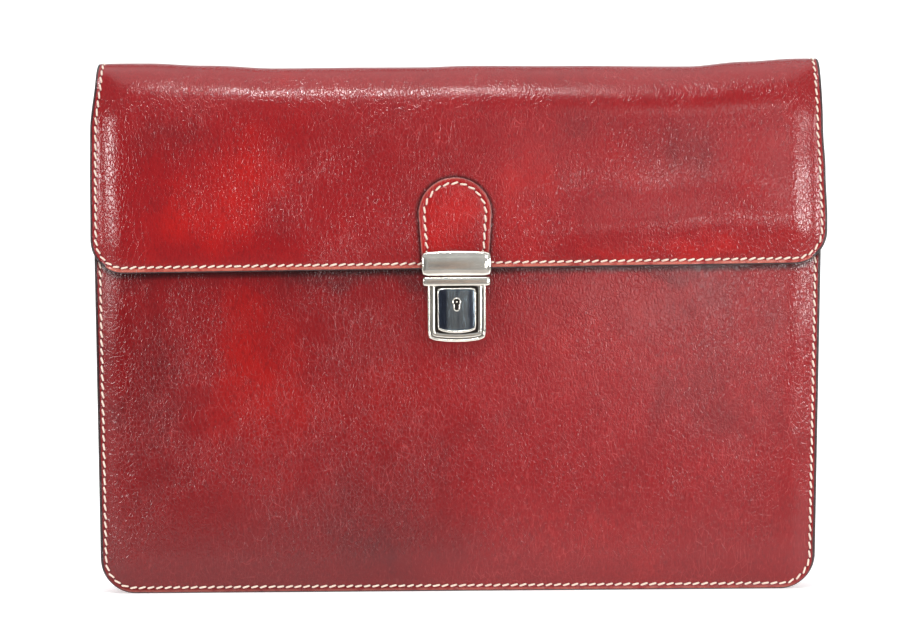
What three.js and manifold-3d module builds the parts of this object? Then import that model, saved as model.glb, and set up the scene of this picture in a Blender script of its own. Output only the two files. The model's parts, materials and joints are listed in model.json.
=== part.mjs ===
// A leather document case: a slim pocket of two stitched panels and a folded gusset, closed by a flap
// that is the back panel carried over the top, and a metal push lock on a small leather tab.
// Millimetres, +Z up. The case stands on the cut edges of its two panels and its front faces -Y.
// Everything is laid out from the middle of the seams' depth, and the finished group is then moved so
// that its bounding box is centred on X and Y and stands on Z = 0.
import * as THREE from "three";
import { mergeVertices } from "three/addons/utils/BufferGeometryUtils.js";
import Module from "manifold-3d";

const wasm = await Module();
wasm.setup();

// The case
const CASE_HEIGHT = 276.5;
const SEAM_DEPTH = 30; // between the outer faces of the front and back seams
const FLOOR_WIDTH = 370;
const FOLD_WIDTH = 380; // the panels widen evenly from the floor to the fold
const LEAN = 1.9; // the foot stands this much further left than the fold
const PANEL_CORNER = 18;
const LEATHER = 2.2;
const SEAT = 0.3; // clearance between two pieces that touch

// How the panels are puffed out between their seams
const SEAM_MARGIN = 4.5; // flat leather between the cut edge and the inside of the stitches
const ROLL_WIDTH = 16;
const ROLL_RISE = 3.5;
const BELLY = 1;

// The fold over the top, the flap and the open mouth under it
const FOLD_RISE = 30;
const TOP_SAG = 3.6;
const FLAP_DROP = 109.5;
const FLAP_CORNER = 17.5;
const FLAP_SKEW = 1.4; // the closed flap hangs this much lower at its left end than in the middle
const FLAP_PUFF = 1.3;
const FLAP_LIE = 0.6; // between the closed flap and the front panel
const MOUTH_DROP = 38;

// The gusset, a strip folded inwards between the panels
const GUSSET_LEATHER = 1.4;
const GUSSET_FOLD = 15;
const GUSSET_CREASE_CORNER = 4; // radius of its middle crease round the lower corners
const GUSSET_SHY = 0.4; // its edges stay this far inside the panels' edges
const GUSSET_BELOW_MOUTH = 2;

// The leather tab that carries the lock's catch
const TAB_LEATHER = 1.8;
const TAB_RADIUS = 18.9;
const TAB_TOP_DROP = 62.5; // from the top of the case
const TAB_FOOT_WIDTH = 34;
const TAB_TIP = 0.14; // share of the quarter turn at the top that is left flat
const TAB_ACROSS = -1.9; // the tab and the lock are set a little to the left of the middle
const LOCK_ACROSS = -1.4;

// The catch, the lock's upper plate on the flap
const CATCH_WIDTH = 35;
const CATCH_HEIGHT = 12.7;
const CATCH_CROWN = 0.8;
const CATCH_CORNER = 2.2;
const CATCH_THICKNESS = 2.6;
const CATCH_OVERHANG = 4.6; // below the flap's edge
const TONGUE_WIDTH = 14;
const TONGUE_THICKNESS = 1.2;
const TONGUE_REACH = 12; // below the catch plate
const POST_RADIUS = 1.3;
const CATCH_POST_SPACING = 22;

// The lock body on the front panel: a bar across the top of a framed tray
const BAR_WIDTH = 34;
const BAR_HEIGHT = 4.8;
const BAR_CORNER = 1.2;
const BAR_BELOW_CATCH = 0.5;
const FRAME_WIDTH = 29;
const FRAME_HEIGHT = 28.8;
const FRAME_BOW = 1.6; // the lower edges of the frame and the slider are bowed down
const FRAME_CORNER = 1.4;
const BEAD_WIDTH = 1.5;
const BEAD_HEIGHT = 1.2;
const BACK_PLATE = 0.8;
const TONGUE_SLACK = 0.4; // around the tongue in its slot
const WEB = 0.8; // metal between the tongue's slot and the slider's pocket
const POCKET_DEPTH = 1.4;
const BAR_PROUD = 1.9; // the bar's face in front of the tray's land
const LOCK_POST_SPACING = 22;
const LOCK_POST_DROP = 9; // below the bar
const RIVET_HEAD_RADIUS = 2.8;
const RIVET_HEAD = 0.9;

// The slider, which is pushed down to let the catch go
const SLIDER_WIDTH = 20;
const SLIDER_HEIGHT = 23.4;
const SLIDER_BELOW_BAR = 0.9;
const SLIDER_CORNER = 1.2;
const SLIDER_PLATE = 1.2;
const RIM_WIDTH = 0.9;
const RIM_HEIGHT = 0.6;
const STEM_INSET = 4; // the guide block behind the plate stays this far inside the plate's edge
const STEM_DEPTH = 1.1;
const POCKET_GAP = 0.7; // shows as a dark line around the slider
const FACE_THICKNESS = 0.5;
const INLAY_GAP = 0.1; // around the face in its rim
const KEYHOLE_DROP = 7.2; // from the slider's top to the middle of the round part
const KEYHOLE_RADIUS = 1.6;
const KEYHOLE_SLOT_WIDTH = 2;
const KEYHOLE_SLOT_LENGTH = 3.2;
const KEYHOLE_DEPTH = 0.9;
const KEY_PIN_RADIUS = 0.5;
const RING_WIDTH = 0.75;
const RING_HEIGHT = 0.35;

const FOLD_LINE = CASE_HEIGHT - FOLD_RISE;
const MOUTH = CASE_HEIGHT - MOUTH_DROP;
const FLAP_EDGE = CASE_HEIGHT - FLAP_DROP;
const FLAP_SHARE = 0.49; // of the way from the flap's edge over the fold to the back

// The top edge sags between the two stiff corners of the fold.
// across: share of half the fold's width from the middle, sag: share of TOP_SAG.
const TOP_LINE = [
  { across: -1, sag: 0 },
  { across: -0.86, sag: 0.02 },
  { across: -0.7, sag: 0.4 },
  { across: -0.5, sag: 0.9 },
  { across: -0.1, sag: 0.88 },
  { across: 0.03, sag: 0.72 },
  { across: 0.3, sag: 0.84 },
  { across: 0.64, sag: 1.06 },
  { across: 0.8, sag: 0.4 },
  { across: 0.93, sag: 0.03 },
  { across: 1, sag: 0 },
];

// The sides of the flap and the fold stray from straight lines: the fold is drawn in at its ends.
// along: share of the way from the flap's edge over the fold to the back, left and right: millimetres out.
const SIDE_LINE = [
  { along: 0, left: 0, right: 1.4 },
  { along: 0.15, left: 0.2, right: 1.5 },
  { along: 0.3, left: 0.4, right: 0.6 },
  { along: 0.45, left: 0.3, right: -0.7 },
  { along: 0.6, left: -1.8, right: -1.3 },
  { along: 0.745, left: -2, right: -1.3 },
  { along: 1, left: 0, right: 0 },
];

// Ridges and hollows that use has left in the flap.
// across and wide: shares of half the flap's width, up and tall: shares of the flap's drop measured from
// its edge, rise: share of the flap's puff, negative for a hollow.
const FLAP_DENTS = [
  { across: 0.56, wide: 0.34, up: 0.2, tall: 0.07, rise: 0.62 },
  { across: 0.84, wide: 0.12, up: 0.33, tall: 0.2, rise: 0.4 },
  { across: 0.55, wide: 0.36, up: 0.36, tall: 0.09, rise: -0.55 },
  { across: -0.24, wide: 0.1, up: 0.19, tall: 0.07, rise: 0.3 },
  { across: -0.55, wide: 0.3, up: 0.42, tall: 0.2, rise: -0.22 },
  { across: 0.02, wide: 0.25, up: 0.66, tall: 0.12, rise: 0.25 },
];

// The gusset's folded section, from the back edge to the crease in the middle of the depth.
// inwards: share of GUSSET_FOLD, side: share of half the depth between the flanges.
const GUSSET_SECTION = [
  { inwards: 0, side: 1 },
  { inwards: 0.36, side: 1 },
  { inwards: 0.5, side: 0.93 },
  { inwards: 0.64, side: 0.72 },
  { inwards: 0.9, side: 0.24 },
  { inwards: 0.98, side: 0.1 },
  { inwards: 1, side: 0 },
];

// Facets across and along the sheets
const PANEL_COLUMNS = 24;
const TAB_COLUMNS = 10;
const CORNER_TURNS = 5;
const FOLD_TURNS = 12;
const FRONT_STEPS = 14;
const BACK_STEPS = 12;
const FLAP_STEPS = 8;
const GUSSET_TURNS = 6;
const GUSSET_STEPS = 7;
const TAB_TURNS = 9;
const TAB_STEPS = 4;

const CUT_THROUGH = 2 * LEATHER; // a cutter for a post reaches at least this far past the leather

const lerp = THREE.MathUtils.lerp;
const clamp = THREE.MathUtils.clamp;

// Half the width of the front and back panels at height z, with their round lower corners.
function panelHalfWidth(z) {
  const straight = straightHalfWidth(z);
  if (z >= PANEL_CORNER) return straight;
  return straight - PANEL_CORNER + Math.sqrt(PANEL_CORNER ** 2 - (PANEL_CORNER - z) ** 2);
}

function straightHalfWidth(z) {
  return lerp(FLOOR_WIDTH, FOLD_WIDTH, clamp(z / FOLD_LINE, 0, 1)) / 2;
}

// How far a point lies inside an outline with straight sides, a straight foot and round corners.
function insideEdge(x, aboveFoot, halfWidth, corner) {
  const past = Math.abs(x) - (halfWidth - corner);
  if (past > 0 && aboveFoot < corner) return corner - Math.hypot(past, corner - aboveFoot);
  return Math.min(halfWidth - Math.abs(x), aboveFoot);
}

// 0 on the flat seam margin, rising along a round shoulder to 1 inside it.
function roll(inside, width) {
  const along = clamp((inside - SEAM_MARGIN) / width, 0, 1);
  return 1 - (1 - along) ** 2;
}

// How far the outer face of a panel stands out from its seams.
function panelPuff(x, z) {
  const halfWidth = straightHalfWidth(z);
  const inside = insideEdge(x, z, halfWidth, PANEL_CORNER);
  const across = Math.cos((Math.PI / 2) * clamp(x / halfWidth, -1, 1));
  const belly = across * Math.sin((Math.PI * z) / CASE_HEIGHT);
  return ROLL_RISE * roll(inside, ROLL_WIDTH) + BELLY * belly;
}

const frontFace = (x, z) => -(SEAM_DEPTH / 2 + panelPuff(x, z));
const backFace = (x, z) => SEAM_DEPTH / 2 + panelPuff(x, z);

function flapEdge(x) {
  return FLAP_EDGE + (FLAP_SKEW * x) / (FOLD_WIDTH / 2);
}

function flapDent(x, z) {
  const across = x / (FOLD_WIDTH / 2);
  const up = (z - flapEdge(x)) / FLAP_DROP;
  let rise = 0;
  for (const dent of FLAP_DENTS) {
    const far = ((across - dent.across) / dent.wide) ** 2 + ((up - dent.up) / dent.tall) ** 2;
    rise += dent.rise * Math.exp(-far);
  }
  return rise;
}

// The flap's outer face: it lies on the front panel and is puffed a little between its own seams.
function flapFace(x, z) {
  const inside = insideEdge(x, z - flapEdge(x), FOLD_WIDTH / 2, FLAP_CORNER);
  const puff = FLAP_PUFF * roll(inside, ROLL_WIDTH) * Math.max(0, 1 + flapDent(x, z));
  return frontFace(x, z) - FLAP_LIE - LEATHER - puff;
}

// A value of a table at a place between its rows, passing smoothly from one row to the next.
function tableValue(table, column, place, value) {
  const next = table.findIndex((row) => row[column] >= place);
  if (next <= 0) return table[0][value];
  const before = table[next - 1];
  const after = table[next];
  const share = (place - before[column]) / (after[column] - before[column]);
  return lerp(before[value], after[value], THREE.MathUtils.smoothstep(share, 0, 1));
}

function topSag(x) {
  return TOP_SAG * tableValue(TOP_LINE, "across", clamp(x / (FOLD_WIDTH / 2), -1, 1), "sag");
}

// How far a point at a share of the half width is moved out with the flap's or the fold's side.
function sideShift(share, along) {
  return share * tableValue(SIDE_LINE, "along", clamp(along, 0, 1), share < 0 ? "left" : "right");
}

// How far the leaning case is moved across at height z.
const leanAt = (z) => LEAN * (z / CASE_HEIGHT - 1);

function leaning(geometry) {
  const position = geometry.getAttribute("position");
  for (let i = 0; i < position.count; i++) position.setX(i, position.getX(i) + leanAt(position.getZ(i)));
  return geometry;
}

// Columns of a sheet from -1 to 1, close together near the edges where the leather turns.
function columnShares(count) {
  return Array.from({ length: count + 1 }, (_, i) => Math.sin((Math.PI / 2) * ((2 * i) / count - 1)));
}

// Heights from the foot of a panel upwards: closely round the corner, then evenly to the top.
function heightsFromFoot(corner, top, turns, steps) {
  const heights = [];
  for (let i = 0; i < turns; i++) heights.push(corner * (1 - Math.cos((Math.PI / 2) * (i / turns))));
  for (let i = 0; i <= steps; i++) heights.push(lerp(corner, top, i / steps));
  return heights;
}

// A closed solid between two grids of points, rows by columns. The outer grid's rows cross its columns
// so that rows x columns points outwards.
function sheetGeometry(outer, inner) {
  const rows = outer.length;
  const columns = outer[0].length;
  const points = [...outer.flat(), ...inner.flat()];
  const at = (layer, i, j) => layer * rows * columns + i * columns + j;
  const index = [];
  const quad = (a, b, c, d) => index.push(a, b, c, a, c, d);
  for (let i = 0; i + 1 < rows; i++) {
    for (let j = 0; j + 1 < columns; j++) {
      quad(at(0, i, j), at(0, i + 1, j), at(0, i + 1, j + 1), at(0, i, j + 1));
      quad(at(1, i, j), at(1, i, j + 1), at(1, i + 1, j + 1), at(1, i + 1, j));
    }
    const last = columns - 1;
    quad(at(0, i, 0), at(1, i, 0), at(1, i + 1, 0), at(0, i + 1, 0));
    quad(at(0, i, last), at(0, i + 1, last), at(1, i + 1, last), at(1, i, last));
  }
  for (let j = 0; j + 1 < columns; j++) {
    const last = rows - 1;
    quad(at(0, 0, j), at(0, 0, j + 1), at(1, 0, j + 1), at(1, 0, j));
    quad(at(0, last, j), at(1, last, j), at(1, last, j + 1), at(0, last, j + 1));
  }
  const geometry = new THREE.BufferGeometry();
  geometry.setAttribute("position", new THREE.Float32BufferAttribute(points.flatMap((p) => p.toArray()), 3));
  geometry.setIndex(index);
  return geometry;
}

// A sheet of leather that lies across Y: rows from the top down, each with its height and half width,
// its outer face given by face(x, z), centred on X = middle.
function frontSheet(rows, face, thickness, columns, middle = 0) {
  const grid = (depth) =>
    rows.map(({ z, halfWidth }) =>
      columnShares(columns).map((share) => {
        const x = middle + share * halfWidth;
        return new THREE.Vector3(x, face(x, z) + depth, z);
      }),
    );
  return sheetGeometry(grid(0), grid(thickness));
}

// A closed geometry as a solid that can be joined and cut
function solidOf(geometry) {
  const bare = new THREE.BufferGeometry();
  bare.setAttribute("position", geometry.getAttribute("position"));
  bare.setIndex(geometry.index);
  const merged = mergeVertices(bare, 1e-4);
  const vertProperties = new Float32Array(merged.getAttribute("position").array);
  const triVerts = new Uint32Array(merged.index.array);
  return new wasm.Manifold(new wasm.Mesh({ numProp: 3, vertProperties, triVerts }));
}

function geometryOf(solid) {
  const mesh = solid.getMesh();
  const geometry = new THREE.BufferGeometry();
  geometry.setAttribute("position", new THREE.BufferAttribute(mesh.vertProperties, 3));
  geometry.setIndex(new THREE.BufferAttribute(mesh.triVerts, 1));
  geometry.computeVertexNormals();
  return geometry;
}

const join = (...parts) => parts.reduce((whole, part) => whole.add(part));
const cut = (solid, ...tools) => tools.reduce((left, tool) => left.subtract(tool), solid);

// A plate seen from the front: the shape lies in X and Z, its back is at y and it grows towards -Y.
function plate(shape, y, thickness) {
  const options = { depth: thickness, bevelEnabled: false, curveSegments: 6 };
  const geometry = new THREE.ExtrudeGeometry(shape, options);
  return solidOf(geometry.rotateX(Math.PI / 2).translate(0, y, 0));
}

// A round post along Y from its back end at y towards -Y
function post(x, z, y, radius, length) {
  const geometry = new THREE.CylinderGeometry(radius, radius, length, 16);
  return solidOf(geometry.translate(x, y - length / 2, z));
}

// A rectangle with rounded corners, its lower edge bowed down by bow and its upper edge up by crown.
function roundedPlate(middle, bottom, width, height, corner, bow = 0, crown = 0) {
  const left = middle - width / 2;
  const right = middle + width / 2;
  const top = bottom + height;
  const shape = new THREE.Shape();
  shape.moveTo(left, bottom + corner);
  shape.quadraticCurveTo(left, bottom, left + corner, bottom);
  if (bow) shape.quadraticCurveTo(middle, bottom - 2 * bow, right - corner, bottom);
  else shape.lineTo(right - corner, bottom);
  shape.quadraticCurveTo(right, bottom, right, bottom + corner);
  shape.lineTo(right, top - corner);
  shape.quadraticCurveTo(right, top, right - corner, top);
  if (crown) shape.quadraticCurveTo(middle, top + 2 * crown, left + corner, top);
  else shape.lineTo(left + corner, top);
  shape.quadraticCurveTo(left, top, left, top - corner);
  shape.closePath();
  return shape;
}

// The keyhole's outline, a round hole with a slot below it, grown by an offset for its ring.
function keyholeShape(x, z, grow) {
  const radius = KEYHOLE_RADIUS + grow;
  const half = KEYHOLE_SLOT_WIDTH / 2 + grow;
  const slotEnd = z - KEYHOLE_SLOT_LENGTH;
  const turn = Math.asin(half / radius);
  const shape = new THREE.Shape();
  shape.absarc(x, z, radius, -Math.PI / 2 + turn, (3 * Math.PI) / 2 - turn, false);
  shape.absarc(x, slotEnd, half, Math.PI, 2 * Math.PI, false);
  shape.closePath();
  return shape;
}

// Places along Y in the lock, from the front panel outwards
const lockMiddle = LOCK_ACROSS;
const catchBottom = FLAP_EDGE - CATCH_OVERHANG;
const barTop = catchBottom - BAR_BELOW_CATCH;
const frameTop = barTop - BAR_HEIGHT;
const frameBottom = frameTop - FRAME_HEIGHT + FRAME_BOW;
const lockBack = frontFace(lockMiddle, frameTop) - SEAT;
const slotBack = lockBack - BACK_PLATE;
const tongueBack = slotBack - TONGUE_SLACK;
const slotFront = tongueBack - TONGUE_THICKNESS - TONGUE_SLACK;
const pocketBack = slotFront - WEB;
const landFront = pocketBack - POCKET_DEPTH;
const sliderBack = landFront - SEAT;
const sliderFront = sliderBack - SLIDER_PLATE;
const sliderTop = frameTop - SLIDER_BELOW_BAR;
const sliderBottom = sliderTop - SLIDER_HEIGHT + FRAME_BOW;
const lockPostHeight = frameTop - LOCK_POST_DROP;
const tabFront = flapFace(lockMiddle, catchBottom + CATCH_HEIGHT) - SEAT - TAB_LEATHER;
const catchBack = tabFront - SEAT;
const catchPostHeight = (FLAP_EDGE + catchBottom + CATCH_HEIGHT) / 2;

// The front panel
function frontPanel() {
  const heights = heightsFromFoot(PANEL_CORNER, MOUTH, CORNER_TURNS, FRONT_STEPS).reverse();
  const rows = heights.map((z) => ({ z, halfWidth: panelHalfWidth(z) }));
  const sheet = solidOf(leaning(frontSheet(rows, frontFace, LEATHER, PANEL_COLUMNS)));
  const holesBack = frontFace(lockMiddle, lockPostHeight) + CUT_THROUGH;
  return geometryOf(cut(sheet, ...lockPosts(POST_RADIUS + SEAT, holesBack, 2 * CUT_THROUGH)));
}

// Two posts side by side along Y, their back ends at y
function postPair(spacing, z, y, radius, length) {
  return [-1, 1].map((side) => post(lockMiddle + (side * spacing) / 2, z, y, radius, length));
}

const lockPosts = (radius, y, length) => postPair(LOCK_POST_SPACING, lockPostHeight, y, radius, length);
const catchPosts = (radius, y, length) => postPair(CATCH_POST_SPACING, catchPostHeight, y, radius, length);
const catchHoles = () => catchPosts(POST_RADIUS + SEAT, catchBack + 2 * CUT_THROUGH, 3 * CUT_THROUGH);

// The back panel, carried over the fold and down the front as the flap
function backAndFlap() {
  const columns = columnShares(PANEL_COLUMNS);
  const outer = [];
  const inner = [];
  // The point of a place is found as if the sides were straight, and then moved out with its side.
  const addRow = (halfWidth, along, pointAt) => {
    const row = columns.map((share) => {
      const { point, normal } = pointAt(share * halfWidth);
      point.x += sideShift(share, along);
      return { point, normal };
    });
    outer.push(row.map(({ point }) => point));
    inner.push(row.map(({ point, normal }) => point.clone().addScaledVector(normal, -LEATHER)));
  };
  // The sag of the top line is spread down the back and down the flap.
  const sagging = (x, z) => z - topSag(x) * clamp((z - FLAP_EDGE) / (CASE_HEIGHT - FLAP_EDGE), 0, 1);

  for (const z of heightsFromFoot(PANEL_CORNER, FOLD_LINE, CORNER_TURNS, BACK_STEPS)) {
    addRow(panelHalfWidth(z), 1, (x) => ({
      point: new THREE.Vector3(x, backFace(x, z), sagging(x, z)),
      normal: new THREE.Vector3(0, 1, 0),
    }));
  }
  for (let i = 1; i < FOLD_TURNS; i++) {
    const angle = (Math.PI * i) / FOLD_TURNS;
    addRow(FOLD_WIDTH / 2, lerp(1, FLAP_SHARE, i / FOLD_TURNS), (x) => {
      const back = backFace(x, FOLD_LINE);
      const front = flapFace(x, FOLD_LINE);
      const half = (back - front) / 2;
      const y = (back + front) / 2 + half * Math.cos(angle);
      const z = FOLD_LINE + FOLD_RISE * Math.sin(angle);
      const normal = new THREE.Vector3(0, Math.cos(angle) / half, Math.sin(angle) / FOLD_RISE).normalize();
      return { point: new THREE.Vector3(x, y, sagging(x, z)), normal };
    });
  }
  const flapRun = FOLD_LINE - FLAP_EDGE;
  for (const above of heightsFromFoot(FLAP_CORNER, flapRun, CORNER_TURNS, FLAP_STEPS).reverse()) {
    const square = above >= FLAP_CORNER;
    const tuck = square ? 0 : FLAP_CORNER - Math.sqrt(FLAP_CORNER ** 2 - (FLAP_CORNER - above) ** 2);
    addRow(FOLD_WIDTH / 2 - tuck, (FLAP_SHARE * above) / flapRun, (x) => {
      const z = lerp(flapEdge(x), FOLD_LINE, above / flapRun);
      const point = new THREE.Vector3(x, flapFace(x, z), sagging(x, z));
      return { point, normal: new THREE.Vector3(0, -1, 0) };
    });
  }
  const sheet = solidOf(leaning(sheetGeometry(outer, inner)));
  return geometryOf(cut(sheet, ...catchHoles()));
}

// The way round the gusset in X and Z, down one side, along the foot and up the other side
function gussetPath(inset, corner) {
  const path = [];
  const foot = inset + corner;
  for (let i = 0; i < GUSSET_STEPS; i++) {
    const z = lerp(MOUTH - GUSSET_BELOW_MOUTH, foot, i / GUSSET_STEPS);
    path.push(new THREE.Vector2(inset - straightHalfWidth(z), z));
  }
  const cornerX = straightHalfWidth(foot) - foot;
  for (let i = 0; i <= GUSSET_TURNS; i++) {
    const angle = (Math.PI / 2) * (i / GUSSET_TURNS);
    path.push(new THREE.Vector2(-cornerX - corner * Math.cos(angle), foot - corner * Math.sin(angle)));
  }
  const rightHalf = path.map(({ x, y }) => new THREE.Vector2(-x, y)).reverse();
  const third = cornerX / 3;
  return [...path, new THREE.Vector2(-third, inset), new THREE.Vector2(third, inset), ...rightHalf];
}

// The gusset, swept down one side, along the foot and up the other side
function gusset() {
  const flange = SEAM_DEPTH / 2 - LEATHER - SEAT - GUSSET_LEATHER / 2;
  const backHalf = GUSSET_SECTION.map(({ inwards, side }) => ({
    inwards: lerp(GUSSET_SHY, GUSSET_FOLD, inwards),
    y: flange * side,
  }));
  const frontHalf = backHalf.slice(0, -1).reverse().map(({ inwards, y }) => ({ inwards, y: -y }));
  const section = [...backHalf, ...frontHalf];
  // The side of the leather that faces the panels and, past the flanges, the inside of the case
  const offsets = section.map((here, i) => {
    const before = section[Math.max(0, i - 1)];
    const after = section[Math.min(section.length - 1, i + 1)];
    const along = new THREE.Vector2(after.inwards - before.inwards, after.y - before.y).normalize();
    return { inwards: -along.y, y: along.x };
  });

  // The gusset's edges follow the panels' outline, and its crease a path of its own further in.
  const edges = gussetPath(0, PANEL_CORNER);
  const creases = gussetPath(GUSSET_FOLD, GUSSET_CREASE_CORNER);
  const grid = (side) =>
    edges.map((edge, station) =>
      section.map(({ inwards, y }, i) => {
        const depth = inwards + (side * offsets[i].inwards * GUSSET_LEATHER) / 2;
        const point = edge.clone().lerp(creases[station], depth / GUSSET_FOLD);
        return new THREE.Vector3(point.x, y + (side * offsets[i].y * GUSSET_LEATHER) / 2, point.y);
      }),
    );
  return leaning(sheetGeometry(grid(-1), grid(1)));
}

// The tab, a tongue-shaped patch of leather that lies on the flap above its edge
function flapTab() {
  const crown = CASE_HEIGHT - TAB_TOP_DROP;
  const centre = crown - TAB_RADIUS;
  const rows = [];
  for (let i = 0; i <= TAB_TURNS; i++) {
    const angle = lerp(TAB_TIP, 1, i / TAB_TURNS) * (Math.PI / 2);
    rows.push({ z: centre + TAB_RADIUS * Math.cos(angle), halfWidth: TAB_RADIUS * Math.sin(angle) });
  }
  for (let i = 1; i <= TAB_STEPS; i++) {
    const z = lerp(centre, FLAP_EDGE + SEAT, i / TAB_STEPS);
    rows.push({ z, halfWidth: lerp(TAB_RADIUS, TAB_FOOT_WIDTH / 2, i / TAB_STEPS) });
  }
  const face = (x, z) => flapFace(x - leanAt(z), z) - SEAT - TAB_LEATHER;
  const sheet = solidOf(frontSheet(rows, face, TAB_LEATHER, TAB_COLUMNS, TAB_ACROSS));
  return geometryOf(cut(sheet, ...catchHoles()));
}

// The catch: its plate on the tab, a lip under the flap's edge, a tongue that the lock holds, and two
// posts through the tab and the flap
function catchPlate() {
  const faceHeight = CATCH_HEIGHT - CATCH_CROWN;
  const shape = roundedPlate(lockMiddle, catchBottom, CATCH_WIDTH, faceHeight, CATCH_CORNER, 0, CATCH_CROWN);
  const face = plate(shape, catchBack, CATCH_THICKNESS);
  const lipHeight = CATCH_OVERHANG - 2 * SEAT - FLAP_SKEW * (TONGUE_WIDTH / FOLD_WIDTH);
  const lipShape = roundedPlate(lockMiddle, catchBottom, TONGUE_WIDTH, lipHeight, SEAT);
  const lip = plate(lipShape, tongueBack, tongueBack - catchBack + SEAT);
  const tongueFoot = catchBottom - TONGUE_REACH;
  const tongueHeight = TONGUE_REACH + lipHeight / 2;
  const tongueShape = roundedPlate(lockMiddle, tongueFoot, TONGUE_WIDTH, tongueHeight, 2 * SEAT);
  const tongue = plate(tongueShape, tongueBack, TONGUE_THICKNESS);
  const flapBack = flapFace(lockMiddle, catchPostHeight) + LEATHER;
  const posts = catchPosts(POST_RADIUS, flapBack, flapBack - catchBack + SEAT);
  return geometryOf(join(face, lip, tongue, ...posts));
}

// The lock body: a bar with the tongue's slot behind it, over a tray with a raised bead and a pocket
// for the slider, riveted through the front panel
function lockBody() {
  const barShape = roundedPlate(lockMiddle, frameTop, BAR_WIDTH, BAR_HEIGHT, BAR_CORNER);
  const bar = plate(barShape, lockBack, lockBack - landFront + BAR_PROUD);
  const outline = (inset, foot = 0) =>
    roundedPlate(
      lockMiddle,
      frameBottom + inset,
      FRAME_WIDTH - 2 * inset,
      frameTop - frameBottom - inset + foot,
      Math.max(FRAME_CORNER - inset / 2, SEAT),
      FRAME_BOW,
    );
  const tray = plate(outline(0, SEAT), lockBack, lockBack - landFront);
  const bead = cut(
    plate(outline(0, SEAT), landFront + SEAT, BEAD_HEIGHT + SEAT),
    plate(outline(BEAD_WIDTH, 2 * SEAT), landFront, 2 * BEAD_HEIGHT),
  );
  const pocketShape = roundedPlate(
    lockMiddle,
    sliderBottom - POCKET_GAP,
    SLIDER_WIDTH + 2 * POCKET_GAP,
    sliderTop - sliderBottom + 2 * POCKET_GAP,
    SLIDER_CORNER,
    FRAME_BOW,
  );
  const pocket = plate(pocketShape, pocketBack, 2 * POCKET_DEPTH);
  const slotReach = TONGUE_REACH + TONGUE_SLACK - BAR_BELOW_CATCH;
  const slotWidth = TONGUE_WIDTH + 2 * TONGUE_SLACK;
  const slotShape = roundedPlate(lockMiddle, barTop - slotReach, slotWidth, slotReach + BAR_HEIGHT, SEAT);
  const slot = plate(slotShape, slotBack, slotBack - slotFront);
  const panelBack = frontFace(lockMiddle, lockPostHeight) + LEATHER;
  const headBack = panelBack + SEAT + RIVET_HEAD;
  const posts = lockPosts(POST_RADIUS, headBack, headBack - lockBack + BACK_PLATE / 2);
  const heads = lockPosts(RIVET_HEAD_RADIUS, headBack, RIVET_HEAD);
  return geometryOf(join(cut(join(bar, tray, bead), pocket, slot), ...posts, ...heads));
}

function sliderOutline(inset) {
  return roundedPlate(
    lockMiddle,
    sliderBottom + inset,
    SLIDER_WIDTH - 2 * inset,
    sliderTop - sliderBottom - 2 * inset,
    SLIDER_CORNER,
    FRAME_BOW,
  );
}

const keyholeHeight = sliderTop - KEYHOLE_DROP;

// The slider: its plate with a raised rim, a guide block behind it, and the keyhole with its pin
function lockSlider() {
  const body = plate(sliderOutline(0), sliderBack, SLIDER_PLATE);
  const rim = cut(
    plate(sliderOutline(0), sliderBack - SLIDER_PLATE / 2, SLIDER_PLATE / 2 + RIM_HEIGHT),
    plate(sliderOutline(RIM_WIDTH), sliderFront, 2 * RIM_HEIGHT),
  );
  const stem = plate(sliderOutline(STEM_INSET), sliderBack + STEM_DEPTH, STEM_DEPTH + SEAT);
  const opening = keyholeShape(lockMiddle, keyholeHeight, 0);
  const keyhole = plate(opening, sliderFront + KEYHOLE_DEPTH, 2 * SLIDER_PLATE);
  const pinLength = SLIDER_PLATE + FACE_THICKNESS;
  const pin = post(lockMiddle, keyholeHeight, sliderBack - SEAT / 2, KEY_PIN_RADIUS, pinLength);
  return geometryOf(join(cut(join(body, rim, stem), keyhole), pin));
}

// The slider's dark face, set inside its rim
function sliderFace() {
  const shape = sliderOutline(RIM_WIDTH + INLAY_GAP);
  shape.holes.push(keyholeShape(lockMiddle, keyholeHeight, 0));
  return geometryOf(plate(shape, sliderFront - INLAY_GAP, FACE_THICKNESS));
}

// The bright ring around the keyhole
function keyholeRing() {
  const shape = keyholeShape(lockMiddle, keyholeHeight, RING_WIDTH);
  shape.holes.push(keyholeShape(lockMiddle, keyholeHeight, 0));
  return geometryOf(plate(shape, sliderFront - INLAY_GAP - FACE_THICKNESS - INLAY_GAP, RING_HEIGHT));
}

const leather = new THREE.MeshStandardMaterial({ color: 0x9c1f26, roughness: 0.38, metalness: 0 });
const gussetLeather = new THREE.MeshStandardMaterial({ color: 0x7a1a20, roughness: 0.5, metalness: 0 });
const nickel = new THREE.MeshStandardMaterial({ color: 0xd8d4cc, roughness: 0.16, metalness: 1 });
const darkNickel = new THREE.MeshStandardMaterial({ color: 0x232c36, roughness: 0.12, metalness: 1 });

const documentCase = new THREE.Group();

function addPiece(name, geometry, material) {
  const mesh = new THREE.Mesh(geometry, material);
  mesh.name = name;
  documentCase.add(mesh);
}

addPiece("front_panel", frontPanel(), leather);
addPiece("back_and_flap", backAndFlap(), leather);
addPiece("gusset", gusset(), gussetLeather);
addPiece("flap_tab", flapTab(), leather);
addPiece("catch_plate", catchPlate(), nickel);
addPiece("lock_body", lockBody(), nickel);
addPiece("lock_slider", lockSlider(), nickel);
addPiece("slider_face", sliderFace(), darkNickel);
addPiece("keyhole_ring", keyholeRing(), nickel);

// The origin is the middle of the bounding box on the floor.
const box = new THREE.Box3().setFromObject(documentCase);
const middle = box.getCenter(new THREE.Vector3());
documentCase.position.set(-middle.x, -middle.y, -box.min.z);

export default documentCase;
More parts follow.
